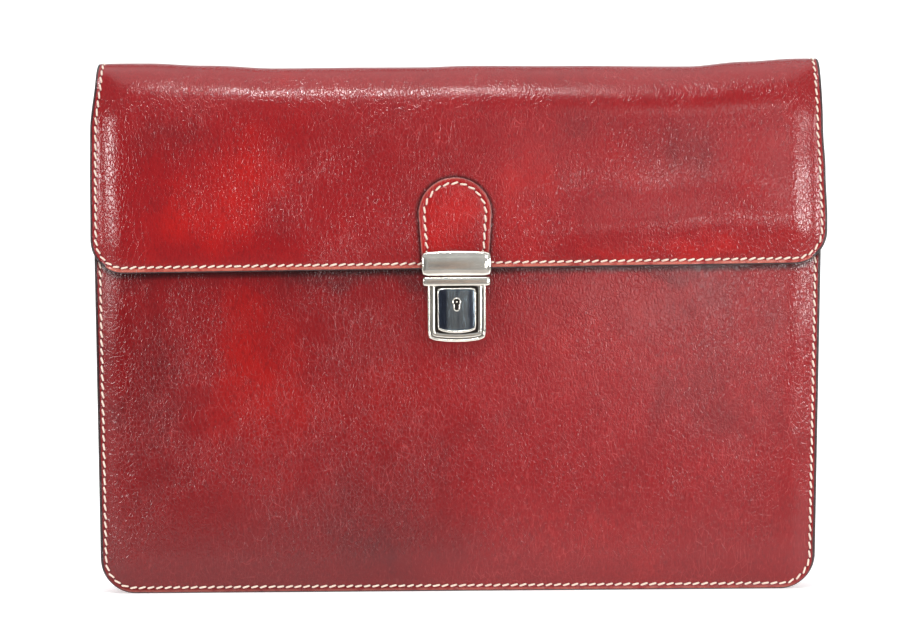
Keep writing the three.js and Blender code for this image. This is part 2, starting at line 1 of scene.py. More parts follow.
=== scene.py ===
# %% [markdown]
# # A leather document case
# The case is a slim pocket of thick, waxed leather. The back panel is carried over the top as a flap,
# a folded gusset joins the two panels, and a push lock on a small tab holds the flap down.
# The measured solids of the case are loaded first. Every piece made here lies exactly where they lie.

# %% Load the measured model
import json
import math

import bpy
import numpy as np
from mathutils import Matrix, Vector, noise

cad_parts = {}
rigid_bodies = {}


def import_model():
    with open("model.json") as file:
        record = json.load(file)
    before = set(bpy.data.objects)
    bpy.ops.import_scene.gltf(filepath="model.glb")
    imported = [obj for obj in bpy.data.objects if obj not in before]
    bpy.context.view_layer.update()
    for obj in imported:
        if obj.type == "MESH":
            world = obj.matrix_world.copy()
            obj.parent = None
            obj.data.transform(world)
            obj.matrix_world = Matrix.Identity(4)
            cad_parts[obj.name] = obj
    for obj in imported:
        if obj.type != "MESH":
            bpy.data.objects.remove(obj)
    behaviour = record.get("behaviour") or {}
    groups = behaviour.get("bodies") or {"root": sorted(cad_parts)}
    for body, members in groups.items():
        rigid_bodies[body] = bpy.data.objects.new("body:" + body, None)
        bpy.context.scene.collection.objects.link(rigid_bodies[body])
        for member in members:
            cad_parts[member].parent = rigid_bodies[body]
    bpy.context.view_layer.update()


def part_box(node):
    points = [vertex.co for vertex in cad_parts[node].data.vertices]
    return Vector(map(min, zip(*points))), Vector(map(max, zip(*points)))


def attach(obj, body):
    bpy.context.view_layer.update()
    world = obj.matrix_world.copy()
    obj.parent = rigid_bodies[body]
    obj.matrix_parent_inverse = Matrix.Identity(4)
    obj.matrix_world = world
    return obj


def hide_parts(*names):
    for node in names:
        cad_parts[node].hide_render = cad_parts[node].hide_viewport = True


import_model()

# %% [markdown]
# ## One set of sizes
# All lengths below are millimetres. The case was laid out from the middle of its seams' depth and from
# the middle between its sides, and these places are read off the gusset and off the lock's catch. Points
# are turned into metres and moved there only when a mesh is written.

# %% Sizes of the case
MM = 0.001
gusset_low, gusset_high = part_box("gusset")
_, wrap_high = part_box("back_and_flap")
catch_low, catch_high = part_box("catch_plate")
lock_low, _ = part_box("lock_body")
LOCK_ACROSS = -1.4
MIDDLE_Y = (gusset_low.y + gusset_high.y) / 2 / MM
MIDDLE_X = (catch_low.x + catch_high.x) / 2 / MM - LOCK_ACROSS
MIDDLE = np.array([MIDDLE_X, MIDDLE_Y, 0])

CASE_HEIGHT = wrap_high.z / MM
FOLD_WIDTH = 380
FLOOR_WIDTH = 370
SEAM_DEPTH = 30
LEAN = 1.9
PANEL_CORNER = 18
LEATHER = 2.2
SEAT = 0.3

SEAM_MARGIN = 4.5
ROLL_WIDTH = 16
ROLL_RISE = 3.5
BELLY = 1

FOLD_RISE = 30
FLAP_DROP = 109.5
FLAP_CORNER = 17.5
FLAP_SKEW = 1.4
FLAP_PUFF = 1.3
FLAP_LIE = 0.6
MOUTH_DROP = 38

FOLD_LINE = CASE_HEIGHT - FOLD_RISE
MOUTH = CASE_HEIGHT - MOUTH_DROP
FLAP_EDGE = CASE_HEIGHT - FLAP_DROP
HALF = FOLD_WIDTH / 2
print("middle at", round(MIDDLE_X, 2), round(MIDDLE_Y, 2), "height", round(CASE_HEIGHT, 1))

# %% [markdown]
# ## Meshes that follow an outline
# A panel is a flat grid at first. Its lines lie close together near the edges, where the leather turns
# and where the needle has pressed a groove, and further apart in the middle. Round corners come from
# pulling each square corner of the grid in to a quarter disc: the rings of the grid then run parallel
# to the edge all the way round, and a groove at a fixed distance from the edge stays sharp.

# %% Grid lines
EDGE_STEPS = [0, 0.75, 1.4, 2.0, 2.5, 3.0, 3.5, 4.0, 4.8, 5.8, 7.0, 8.4, 10.0, 12.0, 14.4, 17.0, 20.0, 23.4]
PANEL_PITCH = 2.6


def lines_between(low, high, pitch, low_steps=EDGE_STEPS, high_steps=EDGE_STEPS):
    """Places of grid lines from low to high, dense at the ends."""
    first = low + low_steps[-1]
    last = high - high_steps[-1]
    count = max(1, math.ceil((last - first) / pitch))
    inner = np.linspace(first, last, count + 1)[1:-1]
    start = [low + step for step in low_steps]
    end = [high - step for step in reversed(high_steps)]
    return np.array(start + list(inner) + end)


def add_grid(name, columns, rows):
    """A grid primitive with one vertex for each crossing of its columns and rows."""
    bpy.ops.object.select_all(action="DESELECT")
    bpy.ops.mesh.primitive_grid_add(x_subdivisions=columns - 1, y_subdivisions=rows - 1, size=1)
    piece = bpy.context.object
    piece.name = name
    piece.data.name = name
    return piece


def write_points(piece, x, y, z):
    """Put a mesh's vertices at places given in millimetres of the case's own layout."""
    points = (np.stack([x, y, z], axis=-1).reshape(-1, 3) + MIDDLE) * MM
    piece.data.vertices.foreach_set("co", points.ravel())
    piece.data.update()


def pull_corner(across, along, corner, fullness=1.0):
    """Pull the square corner beyond a corner's centre in to a round one."""
    a = np.clip(across / corner, 0, None)
    b = np.clip(along / corner, 0, None)
    both = (a > 0) & (b > 0)
    shrink = np.where(both, np.maximum(a, b) / np.maximum(np.hypot(a, b), 1e-9), 1.0) ** fullness
    return np.where(both, across * shrink, across), np.where(both, along * shrink, along)


def round_corners(x, from_end, half, corner):
    """Round the two corners at one end of a sheet: places across it and their distances from the end."""
    in_corner = (np.abs(x) > half - corner) & (from_end < corner)
    across, along = pull_corner(np.abs(x) - (half - corner), corner - from_end, corner)
    moved_x = np.sign(x) * (half - corner + across)
    return np.where(in_corner, moved_x, x), np.where(in_corner, corner - along, from_end)


# %% [markdown]
# ## Finishing a mesh
# A modifier can stay on a piece or be applied to it. Here each is applied at once, so that the next
# step works on the real mesh. Thick leather is shaded smooth all over, and metal only up to an angle,
# so that its arrises stay crisp.

# %% Finishing helpers
def apply_modifier(piece, kind, **settings):
    """Add a modifier with its settings and apply it."""
    modifier = piece.modifiers.new(kind.title(), kind)
    for setting, value in settings.items():
        setattr(modifier, setting, value)
    bpy.context.view_layer.objects.active = piece
    bpy.ops.object.modifier_apply(modifier=modifier.name)


def select_only(piece):
    bpy.ops.object.select_all(action="DESELECT")
    piece.select_set(True)
    bpy.context.view_layer.objects.active = piece


def shade(piece, angle=None):
    """Shade a piece smooth, or smooth only up to an angle in degrees."""
    select_only(piece)
    if angle is None:
        bpy.ops.object.shade_smooth()
    else:
        bpy.ops.object.shade_smooth_by_angle(angle=math.radians(angle))


def face_outwards(piece, weld=False):
    """Turn all faces of a closed piece outwards, and first weld what lies on one spot if asked."""
    select_only(piece)
    bpy.ops.object.mode_set(mode="EDIT")
    bpy.ops.mesh.select_all(action="SELECT")
    if weld:
        bpy.ops.mesh.remove_doubles(threshold=1e-6)
    bpy.ops.mesh.normals_make_consistent(inside=False)
    bpy.ops.object.mode_set(mode="OBJECT")


def triangles(piece):
    piece.data.calc_loop_triangles()
    return len(piece.data.loop_triangles)


# %% [markdown]
# ## The shape of the leather
# The seams hold the panels flat along their edges. Inside the stitches the leather rolls up over the
# gusset, and then runs nearly flat across the case. These functions give the height of the leather at
# any place, so that a panel, its seam and the tab that lies on it all agree.

# %% Height of the panels
def straight_half(z):
    share = np.clip(z / FOLD_LINE, 0, 1)
    return (FLOOR_WIDTH + (FOLD_WIDTH - FLOOR_WIDTH) * share) / 2


def inside_edge(x, above, half, corner):
    """Distance in from an outline with straight sides, a straight foot and round lower corners."""
    past = np.abs(x) - (half - corner)
    below = corner - above
    round_part = corner - np.hypot(past, below)
    straight_part = np.minimum(half - np.abs(x), above)
    return np.where((past > 0) & (below > 0), round_part, straight_part)


def roll(inset, width):
    along = np.clip((inset - SEAM_MARGIN) / width, 0, 1)
    return 1 - (1 - along) ** 2


def panel_puff(x, z):
    half = straight_half(z)
    inset = inside_edge(x, z, half, PANEL_CORNER)
    belly = np.cos(np.pi / 2 * np.clip(x / half, -1, 1)) * np.sin(np.pi * z / CASE_HEIGHT)
    return ROLL_RISE * roll(inset, ROLL_WIDTH) + BELLY * belly


def lean(z):
    """The case leans: its foot stands a little further left than its fold."""
    return LEAN * (z / CASE_HEIGHT - 1)


def front_face(x, z):
    return -(SEAM_DEPTH / 2 + panel_puff(x, z))


def back_face(x, z):
    return SEAM_DEPTH / 2 + panel_puff(x, z)


# %% [markdown]
# Use has left its marks in the flap: a ridge above the lower seam on the right, a hollow over it, and
# some shallow dents. Each is a soft bump with a place, a size and a rise. Places run from -1 to 1
# across the flap and from 0 to 1 up from its edge.

# %% Height of the flap
FLAP_DENTS = [
    {"across": 0.56, "wide": 0.34, "up": 0.20, "tall": 0.07, "rise": 0.62},
    {"across": 0.84, "wide": 0.12, "up": 0.33, "tall": 0.20, "rise": 0.75},
    {"across": 0.55, "wide": 0.36, "up": 0.36, "tall": 0.09, "rise": -0.34},
    {"across": -0.24, "wide": 0.10, "up": 0.19, "tall": 0.07, "rise": 0.30},
    {"across": -0.55, "wide": 0.30, "up": 0.42, "tall": 0.20, "rise": -0.22},
    {"across": 0.02, "wide": 0.25, "up": 0.66, "tall": 0.12, "rise": 0.25},
]


def flap_edge(x):
    return FLAP_EDGE + FLAP_SKEW * x / HALF


def flap_dent(x, z):
    across = x / HALF
    sway = 0.030 * np.sin(6.3 * across + 0.8) + 0.015 * np.sin(15 * across)
    up = (z - flap_edge(x)) / FLAP_DROP + sway
    rise = np.zeros_like(across)
    for dent in FLAP_DENTS:
        far_across = (across - dent["across"]) / dent["wide"]
        far_up = (up - dent["up"]) / dent["tall"]
        rise = rise + dent["rise"] * np.exp(-(far_across**2 + far_up**2))
    return rise


def flap_face(x, z):
    inset = inside_edge(x, z - flap_edge(x), HALF, FLAP_CORNER)
    puff = FLAP_PUFF * roll(inset, ROLL_WIDTH) * np.maximum(0, 1 + flap_dent(x, z))
    return front_face(x, z) - FLAP_LIE - LEATHER - puff


# %% [markdown]
# The stitches pull a shallow groove into the leather and its cut edge is thinned a little. Soft, low
# waves keep the wide surfaces from looking like sheet metal: glossy leather shows them in every
# highlight. They come from a noise function that gives the same waves each time.

# %% Groove and waves
STITCH_INSET = 3
GROOVE_DEPTH = 0.4
GROOVE_WIDTH = 0.9
EDGE_THINNED = 0.2
EDGE_THINNED_WIDTH = 1.1
WAVES = [
    {"length": 85, "height": 0.22},
    {"length": 34, "height": 0.10},
    {"length": 13, "height": 0.035},
]


def seam_relief(inset):
    groove = GROOVE_DEPTH * np.exp(-(((inset - STITCH_INSET) / GROOVE_WIDTH) ** 2))
    thinned = EDGE_THINNED * np.exp(-((inset / EDGE_THINNED_WIDTH) ** 2))
    return -(groove + thinned)


def waves(x, z, seed):
    """Low waves over a surface laid out flat, in millimetres."""
    height = np.zeros(x.size)
    for wave in WAVES:
        size = wave["length"]
        places = zip(x.ravel() / size, z.ravel() / size)
        height += wave["height"] * np.array([noise.noise((u, v, seed)) for u, v in places])
    return height.reshape(x.shape)


# %% [markdown]
# ## Leather
# The hide was dyed by hand and polished: clear red where the dye lies thin, wine-dark where it pooled.
# The colour is mixed from large soft clouds, a few patches put where they are seen on the case, two of
# them a painted shadow below the flap's edge, small mottling and the thin pale lines of creases, whose
# paleness is partly their own and partly a painted sheen. The grain is bump: pebbles about a millimetre
# across, finer pores between them, and longer creases that wander mostly downwards.

# %% Building node materials
def new_material(name):
    """A material with an empty tree but for its output and one principled shader."""
    material = bpy.data.materials.new(name)
    material.use_nodes = True
    tree = material.node_tree
    tree.nodes.clear()
    output = tree.nodes.new("ShaderNodeOutputMaterial")
    shader = tree.nodes.new("ShaderNodeBsdfPrincipled")
    tree.links.new(shader.outputs["BSDF"], output.inputs["Surface"])
    return material, tree, shader


def fill(tree, node, inputs):
    """Fill a node's inputs with values or with other nodes' outputs."""
    for socket, value in inputs.items():
        if isinstance(value, bpy.types.NodeSocket):
            tree.links.new(value, node.inputs[socket])
        else:
            node.inputs[socket].default_value = value


def add_node(tree, kind, inputs=None, **settings):
    """Add a node, set its options and fill its inputs."""
    made = tree.nodes.new(kind)
    for setting, value in settings.items():
        setattr(made, setting, value)
    fill(tree, made, inputs or {})
    return made


def object_places(tree):
    """Places on the object, in metres."""
    return add_node(tree, "ShaderNodeTexCoord").outputs["Object"]


def math_node(tree, operation, *values, clamp=False):
    inputs = dict(enumerate(values))
    return add_node(tree, "ShaderNodeMath", inputs, operation=operation, use_clamp=clamp).outputs[0]


def vector_node(tree, operation, inputs, output="Vector"):
    return add_node(tree, "ShaderNodeVectorMath", inputs, operation=operation).outputs[output]


def ramp(tree, value, low, high):
    """0 below low, 1 above high, smooth between."""
    inputs = {"Value": value, "From Min": low, "From Max": high}
    return add_node(tree, "ShaderNodeMapRange", inputs, interpolation_type="SMOOTHSTEP").outputs["Result"]


def blend_colours(tree, share, first, second, kind="MIX"):
    inputs = {0: share, 6: first, 7: second}
    return add_node(tree, "ShaderNodeMix", inputs, data_type="RGBA", blend_type=kind).outputs[2]


def noise_texture(tree, places, scale, detail=2.0, rough=0.5, distortion=0.0):
    inputs = {
        "Vector": places, "Scale": scale, "Detail": detail, "Roughness": rough, "Distortion": distortion,
    }
    return add_node(tree, "ShaderNodeTexNoise", inputs).outputs["Fac"]


def stretched(tree, places, scale, turn=(0, 0, 0)):
    inputs = {"Vector": places, "Scale": scale, "Rotation": turn}
    return add_node(tree, "ShaderNodeMapping", inputs).outputs["Vector"]


def bump_normal(tree, height, strength, distance):
    inputs = {"Height": height, "Strength": strength, "Distance": distance}
    return add_node(tree, "ShaderNodeBump", inputs).outputs["Normal"]


def stored(tree, name):
    """A number that was stored on the vertices of a piece."""
    return add_node(tree, "ShaderNodeAttribute", attribute_name=name).outputs["Fac"]


# %% [markdown]
# The soft patches are spheres of influence around places on the case, in millimetres from its middle
# line and up from the floor. Each row gives the place across and up, the reach across and up, and the
# tone. A tone above 0 lets the clear red through, one below 0 darkens the dye.

# %% Patches of dye
FRONT_PATCHES = [
    (-112, 128, 26, 44, 0.75),
    (-88, 92, 28, 34, 0.6),
    (-22, 96, 30, 26, 0.5),
    (62, 118, 34, 30, 0.35),
    (52, 30, 34, 20, 0.3),
    (-158, 92, 22, 60, -0.7),
    (-30, 26, 46, 18, -0.4),
    (128, 128, 20, 44, -0.5),
    (-60, 60, 24, 24, -0.35),
    (20, 150, 30, 14, -0.4),
    (10, 72, 90, 22, -0.3),
    # The last two rows are painted shadow: a dark band on the front just below the flap's edge.
    (-60, 166, 110, 7, -0.9),
    (120, 168, 70, 6, -0.6),
]
FLAP_PATCHES = [
    (-122, 206, 30, 24, 0.85),
    (-108, 236, 20, 16, 0.5),
    (-150, 190, 20, 18, 0.6),
    (28, 206, 16, 34, 0.7),
    (112, 179, 60, 6, 0.7),
    (92, 210, 30, 14, 0.4),
    (150, 214, 20, 20, 0.4),
    (-92, 192, 10, 12, -0.8),
    (-142, 240, 26, 12, -0.5),
    (116, 226, 22, 16, -0.6),
    (-16, 226, 34, 14, -0.3),
    (60, 236, 30, 8, -0.4),
]
TAB_PATCHES = [
    (-6, 188, 22, 24, 1.0),
    (6, 204, 12, 10, 0.2),
]


def patch_tone(tree, places, patches):
    """The sum of all patches, each fading out from its middle."""
    total = None
    for across, up, wide, tall, tone in patches:
        size = (wide * MM, 10.0, tall * MM)
        inputs = {"Vector": places, "Location": (across * MM, 0, up * MM), "Scale": size}
        centred = add_node(tree, "ShaderNodeMapping", inputs, vector_type="TEXTURE").outputs["Vector"]
        far = vector_node(tree, "LENGTH", {0: centred}, "Value")
        near = math_node(tree, "MULTIPLY", ramp(tree, far, 1.7, 0.0), tone)
        total = near if total is None else math_node(tree, "ADD", total, near)
    return total


# %% [markdown]
# Now the hide itself, from the deep dye to the surface. The creases are the borders of random cells,
# drawn out lengthways and moved about by noise, because ruled lines would look printed. The painted
# sheen that lightens a crease in the colour comes from the same lines that lower it in the bump, so the
# two always fall on one another.

# %% The polished hide
DARK_DYE = (0.130, 0.006, 0.008, 1)
RED_DYE = (0.245, 0.005, 0.007, 1)
CLEAR_RED = (0.415, 0.007, 0.005, 1)
CREASE_SHEEN_TINT = (0.480, 0.055, 0.055, 1)
PALE_EDGE_TINT = (0.560, 0.170, 0.120, 1)
INK = (0.035, 0.017, 0.018, 1)


def wander(tree, places, scale, reach):
    """Places moved about by soft noise, so that a pattern on them wanders."""
    bent = add_node(tree, "ShaderNodeTexNoise", {"Vector": places, "Scale": scale, "Detail": 1})
    sway = vector_node(tree, "SUBTRACT", {0: bent.outputs["Color"], 1: (0.5, 0.5, 0.5)})
    sway = vector_node(tree, "SCALE", {0: sway, "Scale": reach * 2})
    return vector_node(tree, "ADD", {0: places, 1: sway})


def crease_lines(tree, places, scale, width):
    """Thin lines along the borders of random cells."""
    inputs = {"Vector": places, "Scale": scale, "Randomness": 1.0}
    cells = add_node(tree, "ShaderNodeTexVoronoi", inputs, feature="DISTANCE_TO_EDGE")
    return ramp(tree, cells.outputs["Distance"], width, 0.0)


def leather_material(name, patches, grain=1.0, hair=0.1, crease_turn=0.0):
    material, tree, shader = new_material(name)
    places = object_places(tree)

    # The dye: wide clouds, the patches with ragged borders, and small mottling
    clouds = noise_texture(tree, places, 16, detail=3, rough=0.55, distortion=0.4)
    tone = math_node(tree, "MULTIPLY_ADD", clouds, 1.5, -0.75)
    if patches:
        strayed = wander(tree, places, 38, 0.018)
        tone = math_node(tree, "ADD", tone, patch_tone(tree, strayed, patches))
    mottle = noise_texture(tree, stretched(tree, places, (1, 1, 0.6)), 95, detail=4, rough=0.6)
    tone = math_node(tree, "ADD", tone, math_node(tree, "MULTIPLY_ADD", mottle, 0.9, -0.45))
    colour = blend_colours(tree, ramp(tree, tone, -1.15, 0.1), DARK_DYE, RED_DYE)
    colour = blend_colours(tree, ramp(tree, tone, 0.0, 1.5), colour, CLEAR_RED)

    # Creases run mostly upwards between long cells and come and go. They, the fine net and the strokes
    # are made a little paler than the dye, partly their own colour and partly a painted sheen.
    swayed = wander(tree, places, 42, 0.0042)
    leaning = stretched(tree, swayed, (1, 1, 0.36), (0, crease_turn, 0))
    long_lines = crease_lines(tree, leaning, 300, 0.045)
    where = ramp(tree, noise_texture(tree, places, 24, detail=2), 0.48, 0.64)
    broken = ramp(tree, noise_texture(tree, places, 75, detail=1), 0.34, 0.56)
    crease = math_node(tree, "MULTIPLY", math_node(tree, "MULTIPLY", long_lines, where), broken)
    net = crease_lines(tree, stretched(tree, wander(tree, places, 260, 0.0012), (1, 1, 0.6)), 620, 0.14)
    net_share = ramp(tree, noise_texture(tree, places, 31, detail=1), 0.32, 0.66)
    net = math_node(tree, "MULTIPLY", net, math_node(tree, "MULTIPLY_ADD", net_share, 0.75, 0.25))
    strokes = noise_texture(tree, stretched(tree, swayed, (1, 1, 0.12)), 1300, detail=1)
    stroke = math_node(tree, "MULTIPLY", ramp(tree, strokes, 0.54, 0.76), hair)
    crease_sheen_lines = math_node(tree, "MULTIPLY_ADD", crease, 0.42, math_node(tree, "MULTIPLY", net, 0.13))
    crease_sheen_lines = math_node(tree, "ADD", crease_sheen_lines, stroke, clamp=True)
    colour = blend_colours(tree, crease_sheen_lines, colour, CREASE_SHEEN_TINT)
    pits = noise_texture(tree, stretched(tree, places, (1, 1, 0.35)), 1050, detail=1)
    pit = math_node(tree, "MULTIPLY", ramp(tree, pits, 0.50, 0.28), 0.35)
    colour = blend_colours(tree, pit, colour, DARK_DYE)

    # Paler edge bands and edge ink are stored on the vertices; the pale bands on the flap's edge and
    # round the tab are painted highlights.
    spared = ramp(tree, noise_texture(tree, places, 200, detail=3), 0.25, 0.6)
    pale_band_share = math_node(tree, "MULTIPLY", stored(tree, "worn"), spared)
    colour = blend_colours(tree, math_node(tree, "MULTIPLY", pale_band_share, 0.75), colour, PALE_EDGE_TINT)
    ragged = math_node(tree, "MULTIPLY_ADD", noise_texture(tree, places, 300, detail=2), 0.5, -0.25)
    ink = ramp(tree, math_node(tree, "ADD", stored(tree, "ink"), ragged), 0.40, 0.72)
    colour = blend_colours(tree, ink, colour, INK)

    # Grain: plateaus parted by the net, fine unevenness on them, and the deeper creases
    fine = noise_texture(tree, places, 900, detail=2, rough=0.6)
    height = math_node(tree, "MULTIPLY", net, -0.70 * grain)
    height = math_node(tree, "ADD", height, math_node(tree, "MULTIPLY", fine, 0.60 * grain))
    height = math_node(tree, "ADD", height, math_node(tree, "MULTIPLY", pits, 0.60 * grain))
    height = math_node(tree, "ADD", height, math_node(tree, "MULTIPLY", crease, -0.60))

    # The polish varies a little from place to place
    worn = ramp(tree, noise_texture(tree, places, 24, detail=3), 0.3, 0.7)
    polish = math_node(tree, "MULTIPLY_ADD", worn, 0.07, 0.12)
    rough = math_node(tree, "ADD", polish, math_node(tree, "MULTIPLY", fine, 0.05))
    fill(tree, shader, {
        "Base Color": colour,
        "Roughness": rough,
        "Specular IOR Level": 0.43,
        "Normal": bump_normal(tree, height, 0.8, 0.00016),
    })
    return material


# %% [markdown]
# ## The other sides of the leather
# The cut edges are painted with a dark, slightly glossy edge ink, and the tab's is rubbed smooth and
# left in the red of the dye, a little paler. The flesh side, seen in the mouth and inside the fold, is
# suede with short fibres, dull red-brown where the dye has soaked in. The gusset is thinner leather
# of the same dye with a coarser grain. Last, painted shadow is laid over the finished colour in the lee
# of the flap's edge and round the tab, and the front is made darker in its left half and towards its foot.

# %% Cut edges and flesh side
def cut_edge_material(name, scale, dark, light, roughness, strength):
    """A cut edge: streaks along it in two colours, which are felt a little in the bump."""
    material, tree, shader = new_material(name)
    streaks = noise_texture(tree, object_places(tree), scale, detail=3, rough=0.6)
    fill(tree, shader, {
        "Base Color": blend_colours(tree, ramp(tree, streaks, 0.35, 0.7), dark, light),
        "Roughness": math_node(tree, "MULTIPLY_ADD", streaks, *roughness),
        "Normal": bump_normal(tree, streaks, strength, 0.0002),
    })
    return material


def flesh_side_material():
    material, tree, shader = new_material("flesh_side")
    places = object_places(tree)
    fibres = noise_texture(tree, places, 900, detail=4, rough=0.7)
    blotches = noise_texture(tree, places, 30, detail=3)
    dark, light, tips = (0.155, 0.045, 0.034, 1), (0.24, 0.078, 0.056, 1), (0.30, 0.12, 0.09, 1)
    colour = blend_colours(tree, ramp(tree, blotches, 0.3, 0.7), dark, light)
    fill(tree, shader, {
        "Base Color": blend_colours(tree, ramp(tree, fibres, 0.35, 0.75), colour, tips),
        "Roughness": 0.9,
        "Sheen Weight": 0.25,
        "Sheen Roughness": 0.5,
        "Normal": bump_normal(tree, fibres, 0.7, 0.0003),
    })
    return material


# %% Painted shadow and darkening
DARKENING_TINT = (0.25, 0.20, 0.22, 1)


def darken_colour(material, share):
    """Darken the leather's colour towards a dark tint by a share, for painted shadow and for a plain
    darkening.
    """
    tree = material.node_tree
    shader = next(node for node in tree.nodes if node.type == "BSDF_PRINCIPLED")
    colour = shader.inputs["Base Color"].links[0].from_socket
    tree.links.new(blend_colours(tree, share, colour, DARKENING_TINT, "MULTIPLY"), shader.inputs["Base Color"])


def place_parts(tree, middle_x, middle_z):
    """Distances of a place across and up from a point given in millimetres, and its depth."""
    places = object_places(tree)
    parts = add_node(tree, "ShaderNodeSeparateXYZ", {"Vector": places}).outputs
    across = math_node(tree, "SUBTRACT", parts["X"], (middle_x + MIDDLE_X) * MM)
    up = math_node(tree, "SUBTRACT", parts["Z"], middle_z * MM)
    return across, up, parts["Y"]


def painted_shadow_under_flap(tree):
    """Painted shadow in a narrow strip on the front, below the flap's edge and round its corners."""
    across, up, _ = place_parts(tree, 0, FLAP_EDGE)
    skewed = math_node(tree, "MULTIPLY", across, FLAP_SKEW / HALF)
    past = math_node(tree, "SUBTRACT", math_node(tree, "ABSOLUTE", across), (HALF - FLAP_CORNER) * MM)
    past = math_node(tree, "MAXIMUM", past, 0)
    chord = math_node(tree, "SUBTRACT", (FLAP_CORNER * MM) ** 2, math_node(tree, "MULTIPLY", past, past))
    arc = math_node(tree, "SQRT", math_node(tree, "MAXIMUM", chord, 0))
    corner_rise = math_node(tree, "SUBTRACT", FLAP_CORNER * MM, arc)
    edge = math_node(tree, "ADD", skewed, corner_rise)
    below = math_node(tree, "SUBTRACT", edge, up)
    return ramp(tree, below, 4.2 * MM, 0.6 * MM)


def darker_left_and_foot(tree):
    """The front is made darker in its left half and towards its foot."""
    across, up, _ = place_parts(tree, 0, 0)
    left = math_node(tree, "MULTIPLY", ramp(tree, across, 20 * MM, -50 * MM), 0.26)
    foot = math_node(tree, "MULTIPLY_ADD", ramp(tree, up, 75 * MM, 10 * MM), 0.25, 0.06)
    return math_node(tree, "ADD", left, foot)


front_leather = leather_material("front_leather", FRONT_PATCHES, hair=0.25, crease_turn=0.25)
wrap_leather = leather_material("wrap_leather", FLAP_PATCHES, crease_turn=-0.5)
tab_leather = leather_material("tab_leather", TAB_PATCHES, grain=0.8)
gusset_leather = leather_material("gusset_leather", [], grain=1.3)
edge_ink = cut_edge_material(
    "edge_ink", 260, (0.025, 0.012, 0.013, 1), (0.065, 0.028, 0.028, 1), (0.2, 0.36), 0.5,
)
burnished_edge = cut_edge_material(
    "burnished_edge", 420, (0.20, 0.035, 0.035, 1), (0.42, 0.13, 0.12, 1), (0.15, 0.28), 0.4,
)
flesh_side = flesh_side_material()
# Painted shadow on the front below the flap's edge.
darken_colour(front_leather, painted_shadow_under_flap(front_leather.node_tree))
# A plain darkening of the front's left half and of its foot.
darken_colour(front_leather, darker_left_and_foot(front_leather.node_tree))
print("leather materials:", len(bpy.data.materials))

# %% [markdown]
# ## From a sheet to a piece of leather
# A grid is only the polished face. Solidify gives it the thickness of the hide towards the inside, and
# a bevel rounds both arrises of the cut edge, as an edge slicker does. The three sides get their own
# materials: grain side, flesh side and inked edge.

# %% Thickness and edges
GRAIN_SIDE, FLESH_SIDE, CUT_EDGE = 0, 1, 2


def store(piece, name, values):
    """Keep a number for each vertex, which a material can read by its name."""
    attribute = piece.data.attributes.new(name, "FLOAT", "POINT")
    attribute.data.foreach_set("value", np.ascontiguousarray(values, dtype=np.float32).ravel())


def paint_edge(piece, inset, width):
    """Store how much edge ink runs over onto the face: 1 at the cut edge, 0 beyond the painted width."""
    store(piece, "ink", np.clip(1.5 - inset / width, 0, 1.5))


def store_pale_edge_band(piece, inset, low, high, share=1.0):
    """Store a paler band along an edge, between two distances from it."""
    band = np.clip((inset - low) / 0.6 + 0.5, 0, 1) * np.clip((high - inset) / 0.6 + 0.5, 0, 1)
    store(piece, "worn", band * share)


def make_leather(piece, leather, thickness, edge_round, edge=edge_ink, segments=3, angle=55):
    """Give a grid its materials, its thickness and rounded cut edges."""
    for material in (leather, flesh_side, edge):
        piece.data.materials.append(material)
    apply_modifier(
        piece, "SOLIDIFY", thickness=thickness * MM, offset=-1, use_even_offset=True,
        material_offset=FLESH_SIDE, material_offset_rim=CUT_EDGE,
    )
    apply_modifier(
        piece, "BEVEL", width=edge_round * MM, segments=segments, limit_method="ANGLE",
        angle_limit=math.radians(angle), material=CUT_EDGE,
    )
    shade(piece)


# %% [markdown]
# ## Front panel
# The front of the pocket. Its columns and rows are placed on the outline first, and each vertex is then
# lifted to the height of the leather there. The upper edge, hidden under the flap, is a plain cut.

# %% Front panel
columns = lines_between(-HALF, HALF, PANEL_PITCH)
rows = lines_between(0, MOUTH, PANEL_PITCH, high_steps=[0, 0.75, 1.8, 4])
front_panel = add_grid("front_panel_leather", len(columns), len(rows))
x, z = np.meshgrid(columns, rows)
half = straight_half(z)
x, z = round_corners(x * half / HALF, z, half, PANEL_CORNER)
inset = inside_edge(x, z, straight_half(z), PANEL_CORNER)
y = front_face(x, z) - seam_relief(inset) - waves(x, z, 3.0) * roll(inset, ROLL_WIDTH)
write_points(front_panel, x + lean(z), y, z)
at_side = np.clip((z - 2) / 14, 0, 1) * np.clip((np.abs(x) - 150) / 20, 0, 1)
paint_edge(front_panel, inset, 0.35 + 1.25 * at_side)
store_pale_edge_band(front_panel, inset, 0.4, 1.6, (z < 3) * 0.7)
make_leather(front_panel, front_leather, LEATHER, 0.7)
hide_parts("front_panel")
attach(front_panel, "case")
print("front panel:", triangles(front_panel), "triangles")

# %% [markdown]
# ## Back panel and flap
# One sheet goes up the back, over the top and down the front. It is laid out along its length: first
# the flap from its edge up to the fold line, then the fold, which is half an ellipse seen from the
# side, then the back down to the floor. The soft top sags between the stiff corners of the fold.

# %% The way along the wrap
FLAP_RUN = FOLD_LINE - FLAP_EDGE
FOLD_HALF_DEPTH = 21.7
FOLD_RUN = math.pi * math.sqrt((FOLD_HALF_DEPTH**2 + FOLD_RISE**2) / 2)
WRAP_RUN = FLAP_RUN + FOLD_RUN + FOLD_LINE
TOP_SAG = 3.6
TOP_LINE = [
    (-1, 0), (-0.86, 0.02), (-0.7, 0.4), (-0.5, 0.9), (-0.1, 0.88), (0.03, 0.72),
    (0.3, 0.84), (0.64, 1.06), (0.8, 0.4), (0.93, 0.03), (1, 0),
]
LEFT_SIDE = [(0, 0), (0.15, 0.2), (0.3, 0.4), (0.45, 0.3), (0.6, -1.8), (0.745, -2), (1, 0)]
RIGHT_SIDE = [(0, 1.4), (0.15, 1.5), (0.3, 0.6), (0.45, -0.7), (0.6, -1.3), (0.745, -1.3), (1, 0)]


